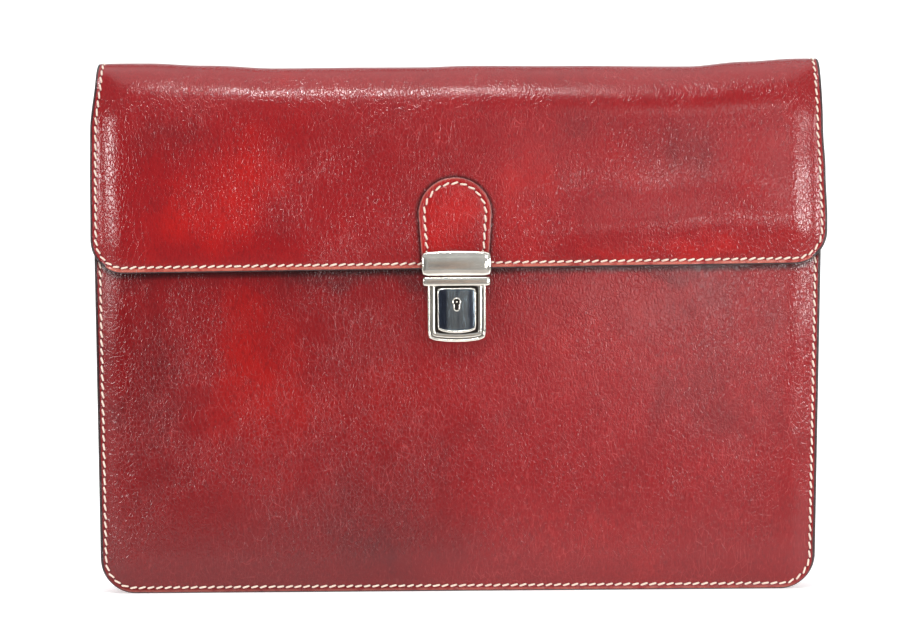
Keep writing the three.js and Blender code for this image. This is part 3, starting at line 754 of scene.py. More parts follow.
def table_value(table, place):
    """The value at a place between two rows of a table of places and values, passing over smoothly."""
    places = np.array([row[0] for row in table])
    values = np.array([row[1] for row in table])
    place = np.clip(place, places[0], places[-1])
    index = np.clip(np.searchsorted(places, place), 1, len(places) - 1)
    share = (place - places[index - 1]) / (places[index] - places[index - 1])
    share = share * share * (3 - 2 * share)
    return values[index - 1] + (values[index] - values[index - 1]) * share


def top_sag(x):
    return TOP_SAG * table_value(TOP_LINE, x / HALF)


def side_shift(x, run):
    """The sides of the flap and the fold stray from straight lines: the fold is drawn in at its ends."""
    along = run / (FLAP_RUN + FOLD_RUN)
    return x / HALF * np.where(x < 0, table_value(LEFT_SIDE, along), table_value(RIGHT_SIDE, along))


def wrap_surface(x, run):
    """Points and outward normals of the wrap's outer face at x and at a run from the flap's edge."""
    edge = flap_edge(x)
    z_front = edge + (FOLD_LINE - edge) * run / FLAP_RUN
    z_back = WRAP_RUN - run
    angle = np.clip(math.pi * (run - FLAP_RUN) / FOLD_RUN, 0, math.pi)
    front = flap_face(x, np.full_like(x, FOLD_LINE))
    back = back_face(x, np.full_like(x, FOLD_LINE))
    half = (back - front) / 2
    y_fold = (back + front) / 2 - half * np.cos(angle)
    z_fold = FOLD_LINE + FOLD_RISE * np.sin(angle)
    on_front = run < FLAP_RUN
    on_back = run > FLAP_RUN + FOLD_RUN
    y = np.where(on_front, flap_face(x, z_front), np.where(on_back, back_face(x, z_back), y_fold))
    z = np.where(on_front, z_front, np.where(on_back, z_back, z_fold))
    z = z - top_sag(x) * np.clip((z - FLAP_EDGE) / (CASE_HEIGHT - FLAP_EDGE), 0, 1)
    normal_y = -np.cos(angle) / half
    normal_z = np.sin(angle) / FOLD_RISE
    length = np.hypot(normal_y, normal_z)
    across = x + side_shift(x, run) + lean(z)
    return np.stack([across, y, z], -1), np.stack([0 * x, normal_y / length, normal_z / length], -1)


def wrap_half(run):
    return straight_half(np.minimum(WRAP_RUN - run, FOLD_LINE))


def wrap_inset(x, run):
    near_flap = inside_edge(x, run, wrap_half(run), FLAP_CORNER)
    near_foot = inside_edge(x, WRAP_RUN - run, wrap_half(run), PANEL_CORNER)
    return np.minimum(near_flap, near_foot)


# %% [markdown]
# With the way along it known, the wrap is a grid like the front panel's: the same lines across, the
# length of the sheet as its rows, and round corners at both ends. Each vertex then goes to its place
# on the fold's surface. A paler band along the flap's edge is a painted highlight where the margin
# turns down to the light. The flap's edge is handled most, so its dye is rubbed through there.

# %% Back panel and flap
columns = lines_between(-HALF, HALF, PANEL_PITCH)
rows = lines_between(0, WRAP_RUN, PANEL_PITCH)
wrap = add_grid("back_and_flap_leather", len(columns), len(rows))
x, run = np.meshgrid(columns, rows)
half = wrap_half(run)
near_foot = WRAP_RUN - run < PANEL_CORNER
x, run = round_corners(x * half / HALF, run, half, FLAP_CORNER)
x, from_foot = round_corners(x, WRAP_RUN - run, half, PANEL_CORNER)
run = np.where(near_foot, WRAP_RUN - from_foot, run)
points, normals = wrap_surface(x, run)
inset = wrap_inset(x, run)
lift = seam_relief(inset) + waves(x, run, 8.0) * roll(inset, ROLL_WIDTH)
points = points + normals * lift[..., None]
write_points(wrap, *np.moveaxis(points, -1, 0))
at_flap_edge = (run < 4) * 1.0
paint_edge(wrap, inset, 1.4 - 0.7 * at_flap_edge)
# Painted highlight: a paler band along the margin of the flap's edge.
store_pale_edge_band(wrap, inset, 0.6, 2.2, at_flap_edge)
make_leather(wrap, wrap_leather, LEATHER, 0.7)
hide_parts("back_and_flap")
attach(wrap, "case")
print("back and flap:", triangles(wrap), "triangles")

# %% [markdown]
# ## Gusset
# A strip folded inwards between the two panels: a flange along each seam and a crease down the middle
# of its depth. It is a grid whose columns follow the fold's section and whose rows run down one side,
# along the foot and up the other side. Going round a lower corner it has more leather than room, so
# it gathers in small pleats.

# %% Gusset
GUSSET_LEATHER = 1.4
GUSSET_FOLD = 15
GUSSET_CREASE_CORNER = 4
GUSSET_SHY = 0.4
GUSSET_TOP = MOUTH - 2
GUSSET_SECTION = [
    (0, 1), (0.12, 1), (0.24, 1), (0.36, 1), (0.5, 0.93),
    (0.64, 0.72), (0.77, 0.48), (0.9, 0.24), (0.98, 0.1), (1, 0),
]
SIDE_ROWS = 60
TURN_ROWS = 40
FOOT_ROWS = 90
TURN_MIDDLE = SIDE_ROWS - 1 + TURN_ROWS / 2
PLEAT_HEIGHT = 0.5
GUSSET_FLANGE = SEAM_DEPTH / 2 - LEATHER - SEAT - GUSSET_LEATHER


def gusset_path(inset, corner):
    """The way down the left side, along the foot and up the right side, as x and z."""
    foot = inset + corner
    left = [(inset - straight_half(z), z) for z in np.linspace(GUSSET_TOP, foot, SIDE_ROWS)[:-1]]
    middle = straight_half(foot) - foot
    turn = [
        (-middle - corner * math.cos(angle), foot - corner * math.sin(angle))
        for angle in np.linspace(0, math.pi / 2, TURN_ROWS)
    ]
    right = [(-px, pz) for px, pz in reversed(left + turn)]
    floor = [(px, inset) for px in np.linspace(-middle, middle, FOOT_ROWS)[1:-1]]
    return np.array(left + turn + floor + right)


section_depth = GUSSET_FOLD - GUSSET_SHY
half_section = [(GUSSET_SHY + section_depth * inwards, side) for inwards, side in GUSSET_SECTION]
section = [(inwards, -side) for inwards, side in half_section[:-1]] + half_section[::-1]
edges = gusset_path(0, PANEL_CORNER)
creases = gusset_path(GUSSET_FOLD, GUSSET_CREASE_CORNER)
gusset = add_grid("gusset_leather", len(section), len(edges))
depth = np.array([inwards for inwards, _ in section])[None, :] / GUSSET_FOLD
side = np.array([share for _, share in section])[None, :]
station = np.arange(len(edges))[:, None]
from_top = np.minimum(station, len(edges) - 1 - station)
turning = np.exp(-(((from_top - TURN_MIDDLE) / 15.0) ** 2))
pleats = PLEAT_HEIGHT * turning * np.sin(station * 0.9) * (1 - np.abs(side))
pleats = pleats * np.clip(depth * 2 - 0.6, 0, 1)
share = depth - pleats / GUSSET_FOLD
x = edges[:, 0:1] + (creases[:, 0:1] - edges[:, 0:1]) * share
z = edges[:, 1:2] + (creases[:, 1:2] - edges[:, 1:2]) * share
y = GUSSET_FLANGE * side * np.ones_like(x)
write_points(gusset, x + lean(z), y, z)
paint_edge(gusset, from_top * np.ones_like(x), 0.5)
make_leather(gusset, gusset_leather, GUSSET_LEATHER, 0.35, segments=2, angle=70)
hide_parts("gusset")
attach(gusset, "case")
low, high = Vector(gusset.bound_box[0]), Vector(gusset.bound_box[6])
print("gusset:", triangles(gusset), "triangles, depth", round((high.y - low.y) / MM, 1), "mm")

# %% [markdown]
# ## The tab
# A tongue-shaped patch that stiffens the flap under the lock. It is a grid too, with a corner radius of
# half its width, so that its two upper corners meet in a round top. It lies on the flap and follows it.

# %% Tab
TAB_LEATHER = 1.8
TAB_RADIUS = 18.9
TAB_TOP_DROP = 62.5
TAB_FOOT_WIDTH = 34
TAB_ACROSS = -1.9
TAB_TOP = CASE_HEIGHT - TAB_TOP_DROP
TAB_CENTRE = TAB_TOP - TAB_RADIUS
TAB_FOOT = FLAP_EDGE + SEAT
TAB_PITCH = 1.3
TAB_STEPS = [0, 0.6, 1.2, 1.8, 2.3, 2.8, 3.3, 3.9, 4.7, 5.8, 7.2, 9.0]


def tab_half(z):
    share = np.clip((TAB_CENTRE - z) / (TAB_CENTRE - TAB_FOOT), 0, 1)
    return TAB_RADIUS + (TAB_FOOT_WIDTH / 2 - TAB_RADIUS) * share


def tab_inset(x, z):
    return inside_edge(x, TAB_TOP - z, tab_half(z), TAB_RADIUS - 1e-6)


def tab_face(x, z):
    dome = 0.35 * (1 - np.exp(-np.clip(tab_inset(x, z) - 3.5, 0, None) / 3.0))
    across = x + TAB_ACROSS - lean(z)
    return flap_face(across, z) - SEAT - TAB_LEATHER - dome


columns = lines_between(-TAB_RADIUS, TAB_RADIUS, TAB_PITCH, TAB_STEPS, TAB_STEPS)
rows = lines_between(TAB_FOOT, TAB_TOP, TAB_PITCH, [0, 0.6, 1.6], TAB_STEPS)
tab = add_grid("flap_tab_leather", len(columns), len(rows))
x, z = np.meshgrid(columns, rows)
half = tab_half(z)
x = x * half / TAB_RADIUS
across, along = pull_corner(np.abs(x), z - TAB_CENTRE, TAB_RADIUS)
x = np.where(z > TAB_CENTRE, np.sign(x) * across, x)
z = np.where(z > TAB_CENTRE, TAB_CENTRE + along, z)
inset = tab_inset(x, z)
y = tab_face(x, z) - seam_relief(inset) - 0.5 * waves(x, z, 21.0) * np.clip(inset / 6, 0, 1)
write_points(tab, x + TAB_ACROSS, y, z)
store(tab, "ink", np.zeros_like(inset))
# Painted highlight: a paler band round the tab's rounded edge.
store_pale_edge_band(tab, inset, 0.0, 0.8, 0.9)
make_leather(tab, tab_leather, TAB_LEATHER, 0.5, burnished_edge)


def painted_shadow_round_tab(tree):
    """Painted shadow on the flap in a narrow strip round the tab's edge, and none on the back."""
    across, up, deep = place_parts(tree, TAB_ACROSS, TAB_CENTRE)
    above = math_node(tree, "MAXIMUM", up, 0)
    below = math_node(tree, "MINIMUM", up, 0)
    squares = math_node(tree, "MULTIPLY", across, across)
    squares = math_node(tree, "MULTIPLY_ADD", above, above, squares)
    taper = (TAB_RADIUS - TAB_FOOT_WIDTH / 2) / (TAB_CENTRE - TAB_FOOT)
    radius = math_node(tree, "MULTIPLY_ADD", below, taper, TAB_RADIUS * MM)
    outside = math_node(tree, "SUBTRACT", math_node(tree, "SQRT", squares), radius)
    at_tab = ramp(tree, outside, 2.4 * MM, 0.1 * MM)
    return math_node(tree, "MULTIPLY", at_tab, ramp(tree, deep, 0, -6 * MM))


# Painted shadow round the tab's edge on the flap.
darken_colour(wrap_leather, painted_shadow_round_tab(wrap_leather.node_tree))
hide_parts("flap_tab")
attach(tab, "case")
print("tab:", triangles(tab), "triangles")

# %% [markdown]
# ## Stitches
# The seams are sewn with thick waxed thread. On the face each stitch is a short plump stroke, a little
# turned against the line of the seam because the needle cuts slanted holes, and between two stitches
# the thread goes down into a hole, drawn as a small dark dimple whose darkness is painted shade. One
# stitch is modelled, and copies of it are laid along a path on the leather and joined into one mesh
# for each seam.

# %% Thread and hole materials
def thread_material():
    material, tree, shader = new_material("waxed_thread")
    uv = add_node(tree, "ShaderNodeUVMap", uv_map="UVMap").outputs["UV"]
    turned = stretched(tree, uv, (1.0, 1.0, 1.0), (0, 0, 0.6))
    inputs = {"Vector": turned, "Scale": 1.6, "Distortion": 0.4, "Detail": 1.0}
    bands = add_node(tree, "ShaderNodeTexWave", inputs, wave_type="BANDS", bands_direction="X")
    plies = bands.outputs["Fac"]
    places = object_places(tree)
    fuzz = noise_texture(tree, places, 2600, detail=2)
    soiled = ramp(tree, noise_texture(tree, places, 55, detail=2), 0.45, 0.8)
    colour = blend_colours(tree, plies, (0.70, 0.50, 0.40, 1), (0.92, 0.80, 0.68, 1))
    soiled = math_node(tree, "MULTIPLY", soiled, 0.30)
    height = math_node(tree, "ADD", plies, math_node(tree, "MULTIPLY", fuzz, 0.4))
    fill(tree, shader, {
        "Base Color": blend_colours(tree, soiled, colour, (0.72, 0.44, 0.38, 1)),
        "Roughness": 0.62,
        "Sheen Weight": 0.15,
        "Normal": bump_normal(tree, height, 0.6, 0.00012),
    })
    return material


def hole_shade_material(name, scale, dark, light, roughness, metallic=0.0):
    """Painted shade for what lies deep in a hole: a dark finish, speckled between two colours."""
    material, tree, shader = new_material(name)
    speckle = noise_texture(tree, object_places(tree), scale, detail=2)
    fill(tree, shader, {
        "Base Color": blend_colours(tree, speckle, dark, light),
        "Roughness": roughness,
        "Metallic": metallic,
    })
    return material


thread = thread_material()
needle_hole_shade = hole_shade_material(
    "needle_hole_shade", 500, (0.020, 0.003, 0.004, 1), (0.060, 0.008, 0.009, 1), 0.7,
)

# %% [markdown]
# A sphere with its poles along the seam is drawn out until it is nearly as thick at its ends as in the
# middle, and the ends are bent down into the leather.

# %% One stitch
STITCH_PITCH = 4.5
STITCH_LENGTH = 3.75
STITCH_WIDTH = 1.05
STITCH_HEIGHT = 0.85
STITCH_SLANT = math.radians(14)
STITCH_SINK = 0.12
HOLE_LIFT = 0.02


def read_mesh(piece):
    """Vertices, faces and the place in the UV map of each face corner, and the primitive is removed."""
    mesh = piece.data
    vertices = np.array([vertex.co for vertex in mesh.vertices])
    faces = [list(polygon.vertices) for polygon in mesh.polygons]
    corners = np.array([corner.uv for corner in mesh.uv_layers.active.data])
    bpy.data.objects.remove(piece, do_unlink=True)
    return vertices, faces, corners


bpy.ops.object.select_all(action="DESELECT")
bpy.ops.mesh.primitive_uv_sphere_add(segments=8, ring_count=8, radius=1)
ball, stitch_faces, stitch_uvs = read_mesh(bpy.context.object)
pole = ball[:, 2]
along = np.sign(pole) * (1 - (1 - np.abs(pole)) ** 1.6)
girth = (1 - pole**2).clip(0, 1) ** 0.3
spoke = ball[:, :2] / np.maximum(np.hypot(ball[:, 0], ball[:, 1]), 1e-9)[:, None]
spoke[np.abs(pole) > 0.999] = 0
stitch_shape = np.stack([
    along * STITCH_LENGTH / 2,
    spoke[:, 0] * girth * STITCH_WIDTH / 2,
    spoke[:, 1] * girth * STITCH_HEIGHT / 2 - 0.42 * np.abs(along) ** 5,
], -1)

bpy.ops.mesh.primitive_uv_sphere_add(segments=8, ring_count=4, radius=1)
dimple, hole_faces, hole_uvs = read_mesh(bpy.context.object)
hole_shape = dimple * np.array([0.34, 0.52, 0.14])
print("faces of one stitch:", len(stitch_faces), "and of one hole:", len(hole_faces))

# %% [markdown]
# A seam starts as a fine row of points on the leather with the direction that the leather faces. Equal
# steps along it give the stitches their places, and each copy is turned by the slant. A little
# irregularity, the same each time, keeps them from looking stamped.

# %% Sewing a seam
def blend_along(way, values, places):
    """Rows of values at places between the points of a way."""
    return np.stack([np.interp(places, way, column) for column in values.T], -1)


def sew(name, points, normals, body="case"):
    """Lay stitches and needle holes along a row of points and join them into one piece."""
    steps = np.linalg.norm(np.diff(points, axis=0), axis=1)
    way = np.concatenate([[0], np.cumsum(steps)])
    count = int(round(way[-1] / STITCH_PITCH))
    dice = np.random.default_rng(len(points))

    def copies(shape, places, lift, wobble):
        middle = blend_along(way, points, places)
        up = blend_along(way, normals, places)
        forward = blend_along(way, points, places + 0.8) - blend_along(way, points, places - 0.8)
        forward /= np.linalg.norm(forward, axis=1)[:, None]
        up -= (up * forward).sum(1)[:, None] * forward
        up /= np.linalg.norm(up, axis=1)[:, None]
        sideways = np.cross(up, forward)
        slant = (STITCH_SLANT + dice.normal(0, wobble, len(places)))[:, None]
        length_axis = forward * np.cos(slant) + sideways * np.sin(slant)
        width_axis = np.cross(up, length_axis)
        size = (1 + dice.normal(0, wobble / 2, len(places)))[:, None, None]
        return (
            middle[:, None, :]
            + length_axis[:, None, :] * shape[None, :, 0:1] * size
            + width_axis[:, None, :] * shape[None, :, 1:2]
            + up[:, None, :] * (shape[None, :, 2:3] + lift)
        )

    stitch_places = (np.arange(count) + 0.5) * way[-1] / count
    hole_places = np.arange(1, count) * way[-1] / count
    vertices, faces, uvs, slots = [], [], [], []
    start = 0
    for shape, places, lift, wobble, template, corners, slot in (
        (stitch_shape, stitch_places, STITCH_HEIGHT / 2 - STITCH_SINK, 0.045, stitch_faces, stitch_uvs, 0),
        (hole_shape, hole_places, HOLE_LIFT, 0.10, hole_faces, hole_uvs, 1),
    ):
        laid = copies(shape, places, lift, wobble)
        vertices.append(laid.reshape(-1, 3))
        for _ in places:
            faces.extend([[start + index for index in face] for face in template])
            uvs.append(corners)
            slots.extend([slot] * len(template))
            start += len(shape)
    mesh = bpy.data.meshes.new(name)
    vertices = (np.concatenate(vertices) + MIDDLE) * MM
    mesh.from_pydata(vertices.tolist(), [], faces)
    mesh.uv_layers.new(name="UVMap").data.foreach_set("uv", np.concatenate(uvs).ravel())
    mesh.materials.append(thread)
    mesh.materials.append(needle_hole_shade)
    mesh.polygons.foreach_set("material_index", slots)
    mesh.update()
    piece = bpy.data.objects.new(name, mesh)
    bpy.context.collection.objects.link(piece)
    shade(piece)
    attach(piece, body)
    print(name, "stitches:", count, "triangles:", triangles(piece))


def arc_points(middle_x, middle_z, radius, start, end, count=40):
    angles = np.radians(np.linspace(start, end, count))
    return np.stack([middle_x + radius * np.cos(angles), middle_z + radius * np.sin(angles)], -1)


def surface_normals(face, x, z):
    """Directions towards the viewer in which a height y = face(x, z) faces, measured from its slopes."""
    step = 0.6
    slope_x = (face(x + step, z) - face(x - step, z)) / (2 * step)
    slope_z = (face(x, z + step) - face(x, z - step)) / (2 * step)
    normals = np.stack([slope_x, -np.ones_like(slope_x), slope_z], -1)
    return normals / np.linalg.norm(normals, axis=1)[:, None]


# %% [markdown]
# The seam round the front panel goes down the left side, along the foot and up the right side. The same
# thread shows inside the gusset's flanges, so the path is used again there, facing the other way.

# %% Seam of the front panel
def side_path(inset, top):
    """Down the left side, round the foot and up the right side at a distance from the edge."""
    left_z = np.linspace(top, PANEL_CORNER, 200)
    left = np.stack([inset - straight_half(left_z), left_z], -1)
    middle = straight_half(PANEL_CORNER) - PANEL_CORNER
    radius = PANEL_CORNER - inset
    left_turn = arc_points(-middle, PANEL_CORNER, radius, 180, 270)
    floor_x = np.linspace(-middle, middle, 200)
    floor = np.stack([floor_x, np.full(200, float(inset))], -1)
    right_turn = arc_points(middle, PANEL_CORNER, radius, 270, 360)
    right = left[::-1] * np.array([-1, 1])
    return np.concatenate([left[:-1], left_turn, floor[1:-1], right_turn, right[1:]])


path = side_path(STITCH_INSET, MOUTH - 3)
x, z = path[:, 0], path[:, 1]
y = front_face(x, z) - seam_relief(np.full(x.shape, float(STITCH_INSET)))
sew("front_seam_stitches", np.stack([x + lean(z), y, z], -1), surface_normals(front_face, x, z))

for name, towards in (("gusset_front_stitches", 1), ("gusset_back_stitches", -1)):
    path = side_path(STITCH_INSET, GUSSET_TOP - 3)
    if towards < 0:
        path = path[::-1]
    inner_y = -towards * GUSSET_FLANGE
    x, z = path[:, 0], path[:, 1]
    points = np.stack([x + lean(z), np.full(len(path), inner_y), z], -1)
    sew(name, points, np.tile([0.0, float(towards), 0.0], (len(points), 1)))

# %% [markdown]
# The wrap is sewn all the way round: down the left side of the flap, along its edge, up the right side,
# over the fold, down the back, along the floor and up again.

# %% Seam of the back and flap
def wrap_path(inset):
    middle_run = FLAP_RUN + FOLD_RUN / 2
    flap_middle = HALF - FLAP_CORNER
    foot_half = wrap_half(np.array(WRAP_RUN - PANEL_CORNER))
    foot_middle = float(foot_half) - PANEL_CORNER
    foot_run = WRAP_RUN - PANEL_CORNER

    def side(sign, start, end):
        runs = np.linspace(start, end, 400)
        return np.stack([sign * (wrap_half(runs) - inset), runs], -1)

    def level(start, end, at):
        return np.stack([np.linspace(start, end, 300), np.full(300, float(at))], -1)

    return np.concatenate([
        side(-1, middle_run, FLAP_CORNER)[:-1],
        arc_points(-flap_middle, FLAP_CORNER, FLAP_CORNER - inset, 180, 270)[:-1],
        level(-flap_middle, flap_middle, inset)[:-1],
        arc_points(flap_middle, FLAP_CORNER, FLAP_CORNER - inset, 270, 360)[:-1],
        side(1, FLAP_CORNER, foot_run)[:-1],
        arc_points(foot_middle, foot_run, PANEL_CORNER - inset, 0, 90)[:-1],
        level(foot_middle, -foot_middle, WRAP_RUN - inset)[:-1],
        arc_points(-foot_middle, foot_run, PANEL_CORNER - inset, 90, 180)[:-1],
        side(-1, foot_run, middle_run),
    ])


path = wrap_path(STITCH_INSET)
points, normals = wrap_surface(path[:, 0], path[:, 1])
points = points + normals * seam_relief(np.full(len(path), float(STITCH_INSET)))[:, None]
sew("wrap_seam_stitches", points, normals)

# %% [markdown]
# The tab's seam goes up its right side, round its top and down its left side. It stops short of the
# foot, where the catch plate covers it.

# %% Seam of the tab
TAB_STITCH_INSET = 3.1


def tab_path(inset):
    right_z = np.linspace(TAB_FOOT + 5, TAB_CENTRE, 60)
    right = np.stack([tab_half(right_z) - inset, right_z], -1)
    turn = arc_points(0, TAB_CENTRE, TAB_RADIUS - inset, 0, 180, 90)
    left = right[::-1] * np.array([-1, 1])
    return np.concatenate([right[:-1], turn, left[1:]])


path = tab_path(TAB_STITCH_INSET)
x, z = path[:, 0], path[:, 1]
y = tab_face(x, z) - seam_relief(np.full(x.shape, float(STITCH_INSET)))
normals = surface_normals(tab_face, x, z)
sew("tab_seam_stitches", np.stack([x + TAB_ACROSS, y, z], -1), normals)

# %% [markdown]
# ## Polished nickel
# The lock is pressed and plated metal. Nickel is a warm, slightly grey mirror. Handling leaves a haze
# and hair-fine scratches, which break its reflections up, and worn plating is no longer all mirror, so
# its metal share stays under 1. Dirt sits in the grooves, where it is stored as a number on the
# vertices. The slider's face is dark and polished, so it mostly mirrors the dim room, and a painted
# reflection makes its colour lighter down the middle and darker at the sides.

# %% Metal materials
def nickel_material():
    material, tree, shader = new_material("polished_nickel")
    places = object_places(tree)
    haze = noise_texture(tree, places, 140, detail=3)
    scratches = noise_texture(tree, stretched(tree, places, (0.25, 1, 1.0), (0, 0.5, 0)), 3200, detail=2)
    bright, dull = (0.90, 0.86, 0.77, 1), (0.76, 0.72, 0.64, 1)
    colour = blend_colours(tree, ramp(tree, haze, 0.3, 0.75), bright, dull)
    grime = stored(tree, "grime")
    rough = math_node(tree, "MULTIPLY_ADD", ramp(tree, haze, 0.3, 0.8), 0.06, 0.06)
    height = math_node(tree, "ADD", scratches, math_node(tree, "MULTIPLY", haze, 1.5))
    fill(tree, shader, {
        "Base Color": blend_colours(tree, grime, colour, (0.045, 0.034, 0.028, 1)),
        "Metallic": 0.84,
        "Roughness": math_node(tree, "MULTIPLY_ADD", grime, 0.35, rough),
        "Normal": bump_normal(tree, height, 0.12, 0.0001),
    })
    return material


def dark_face_material():
    material, tree, shader = new_material("dark_polished_face")
    places = object_places(tree)
    sweep = noise_texture(tree, stretched(tree, places, (1, 1, 0.18)), 210, detail=2)
    scratches = noise_texture(tree, stretched(tree, places, (1, 1, 0.15), (0, -0.5, 0)), 1600, detail=2)
    # Painted reflection: the face's colour is lighter down its middle and darker towards its sides.
    across, _, _ = place_parts(tree, LOCK_ACROSS, 0)
    side = ramp(tree, math_node(tree, "ABSOLUTE", across), 7.5 * MM, 4.0 * MM)
    sweep = math_node(tree, "MULTIPLY_ADD", side, 0.22, math_node(tree, "SUBTRACT", sweep, 0.10))
    dark, light = (0.05, 0.065, 0.10, 1), (0.24, 0.29, 0.32, 1)
    fill(tree, shader, {
        "Base Color": blend_colours(tree, ramp(tree, sweep, 0.35, 0.65), dark, light),
        "Metallic": 0.85,
        "Roughness": math_node(tree, "MULTIPLY_ADD", ramp(tree, scratches, 0.5, 0.75), 0.15, 0.12),
        "Coat Weight": 0.3,
        "Coat Roughness": 0.08,
        "Normal": bump_normal(tree, scratches, 0.1, 0.0001),
    })
    return material


nickel = nickel_material()
dark_face = dark_face_material()

# %% [markdown]
# ## Pressed plates
# Every plate of the lock is a grid with a raised profile: a list of rings from the edge inwards, each
# with its height. The rings run parallel to the edge like contour lines, so a bead or a rounded edge
# needs only a few of them. The border is then extruded to the plate's back and closed.

# %% Plates with a raised profile
def raised_plate(
    name, middle_x, low_z, width, height, profile, y_back, corner, fullness=0.6,
    crown=0.0, bow=0.0, bulge=0.0, cushion=0.0, foot_stretch=1.0, pitch=1.4, material=nickel,
):
    """A plate seen from the front. profile lists (inset, height, grime) from the edge in; bow drops the
    lower edge's middle, crown lifts the upper edge's; bulge rounds the face across, cushion up and down."""
    steps = [row[0] for row in profile]
    foot_steps = [row[0] * foot_stretch for row in profile]
    columns = lines_between(-width / 2, width / 2, pitch, steps, steps)
    rows = lines_between(0, height, pitch, foot_steps, steps)
    piece = add_grid(name, len(columns), len(rows))
    x, z = np.meshgrid(columns, rows)
    column_index, row_index = np.meshgrid(np.arange(len(columns)), np.arange(len(rows)))
    ring = np.minimum.reduce([
        column_index, len(columns) - 1 - column_index, row_index, len(rows) - 1 - row_index,
    ])
    row_index = np.minimum(ring, len(profile) - 1)
    heights = np.array([row[1] for row in profile])[row_index]
    grime = np.array([row[2] if len(row) > 2 else 0 for row in profile])[row_index]

    half = width / 2
    past = np.abs(x) - (half - corner)
    for past_z, sign in ((corner - z, -1), (z - (height - corner), 1)):
        across, along = pull_corner(past, past_z, corner, fullness)
        moved = (past > 0) & (past_z > 0)
        x = np.where(moved, np.sign(x) * (half - corner + across), x)
        z = np.where(moved, z + sign * (along - past_z), z)
    arch = 1 - (x / half) ** 2
    share = z / height
    z = z - bow * arch * np.clip(1 - 1.6 * share, 0, 1) + crown * arch * np.clip(1.6 * share - 0.6, 0, 1)
    inside = np.clip(ring / (len(profile) - 1), 0, 1)
    y = y_back - heights - (bulge * arch + cushion * (1 - (2 * share - 1) ** 2)) * inside**2
    write_points(piece, x + middle_x, y, z + low_z)
    store(piece, "grime", grime)

    select_only(piece)
    bpy.ops.object.mode_set(mode="EDIT")
    bpy.ops.mesh.select_mode(type="EDGE")
    bpy.ops.mesh.select_all(action="DESELECT")
    bpy.ops.mesh.select_non_manifold()
    bpy.ops.mesh.extrude_region_move()
    bpy.ops.object.mode_set(mode="OBJECT")
    for vertex in piece.data.vertices:
        if vertex.select:
            vertex.co.y = (y_back + MIDDLE_Y) * MM
    bpy.ops.object.mode_set(mode="EDIT")
    bpy.ops.mesh.edge_face_add()
    bpy.ops.object.mode_set(mode="OBJECT")
    face_outwards(piece)
    piece.data.materials.append(material)
    shade(piece, 42)
    return piece


def join_pieces(name, pieces):
    """Join finished pieces into one object."""
    bpy.ops.object.select_all(action="DESELECT")
    for piece in pieces:
        piece.select_set(True)
    bpy.context.view_layer.objects.active = pieces[0]
    bpy.ops.object.join()
    whole = bpy.context.object
    whole.name = name
    whole.data.name = name
    return whole


# %% [markdown]
# ## The catch
# The upper plate: a rounded cushion of metal with a slightly arched top edge, riveted through the tab
# and the flap. Behind it a flat tongue reaches down into the lock.

# %% Catch plate
CATCH_WIDTH = (catch_high.x - catch_low.x) / MM + 0.8
CATCH_THICKNESS = 2.6
CATCH_CROWN = 0.8
CATCH_OVERHANG = 3.7
CATCH_HEIGHT = 12.9
CATCH_BOTTOM = FLAP_EDGE - CATCH_OVERHANG
CATCH_FRONT = catch_low.y / MM - MIDDLE_Y
CATCH_BACK = CATCH_FRONT + CATCH_THICKNESS
CUSHION = [(0, 1.1, 0.6), (0.1, 1.5, 0.2), (0.3, 1.8), (0.6, 1.98), (1.0, 2.08), (1.6, 2.12), (2.6, 2.14)]

catch = raised_plate(
    "catch_cushion", LOCK_ACROSS, CATCH_BOTTOM, CATCH_WIDTH, CATCH_HEIGHT - CATCH_CROWN, CUSHION,
    CATCH_BACK, corner=4, fullness=0.55, crown=CATCH_CROWN, bulge=0.2, cushion=0.42, pitch=0.9,
)
TONGUE_WIDTH = 14
TONGUE_THICKNESS = 1.2
TONGUE_REACH = 12
LOCK_FLOOR = 1.2
LOCK_BACK = float(front_face(np.array(LOCK_ACROSS), np.array(FLAP_EDGE - 9.9))) - SEAT
TONGUE_BACK = LOCK_BACK - LOCK_FLOOR
TONGUE_PROFILE = [(0, TONGUE_THICKNESS - 0.2), (0.2, TONGUE_THICKNESS), (1.0, TONGUE_THICKNESS)]
tongue = raised_plate(
    "catch_tongue", LOCK_ACROSS, CATCH_BOTTOM - TONGUE_REACH, TONGUE_WIDTH, TONGUE_REACH + 1.5,
    TONGUE_PROFILE, TONGUE_BACK, corner=1,
)
lip_rise = TONGUE_BACK - CATCH_BACK
lip = raised_plate(
    "catch_lip", LOCK_ACROSS, CATCH_BOTTOM, TONGUE_WIDTH, CATCH_OVERHANG - 1.2,
    [(0, lip_rise), (0.4, lip_rise + 0.2)], TONGUE_BACK, corner=0.6,
)
catch = join_pieces("catch_plate_metal", [catch, tongue, lip])
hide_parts("catch_plate")
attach(catch, "case")
print("catch front at", round(CATCH_FRONT, 2), "tongue at", round(TONGUE_BACK, 2))
print("catch plate:", triangles(catch), "triangles")

# %% [markdown]
# ## The lock body
# A bar as wide as the catch, and below it the tray that the slider runs in. The tray's profile goes in
# from a round bead, through a dark groove, over a flat band, and down into the slider's pocket.

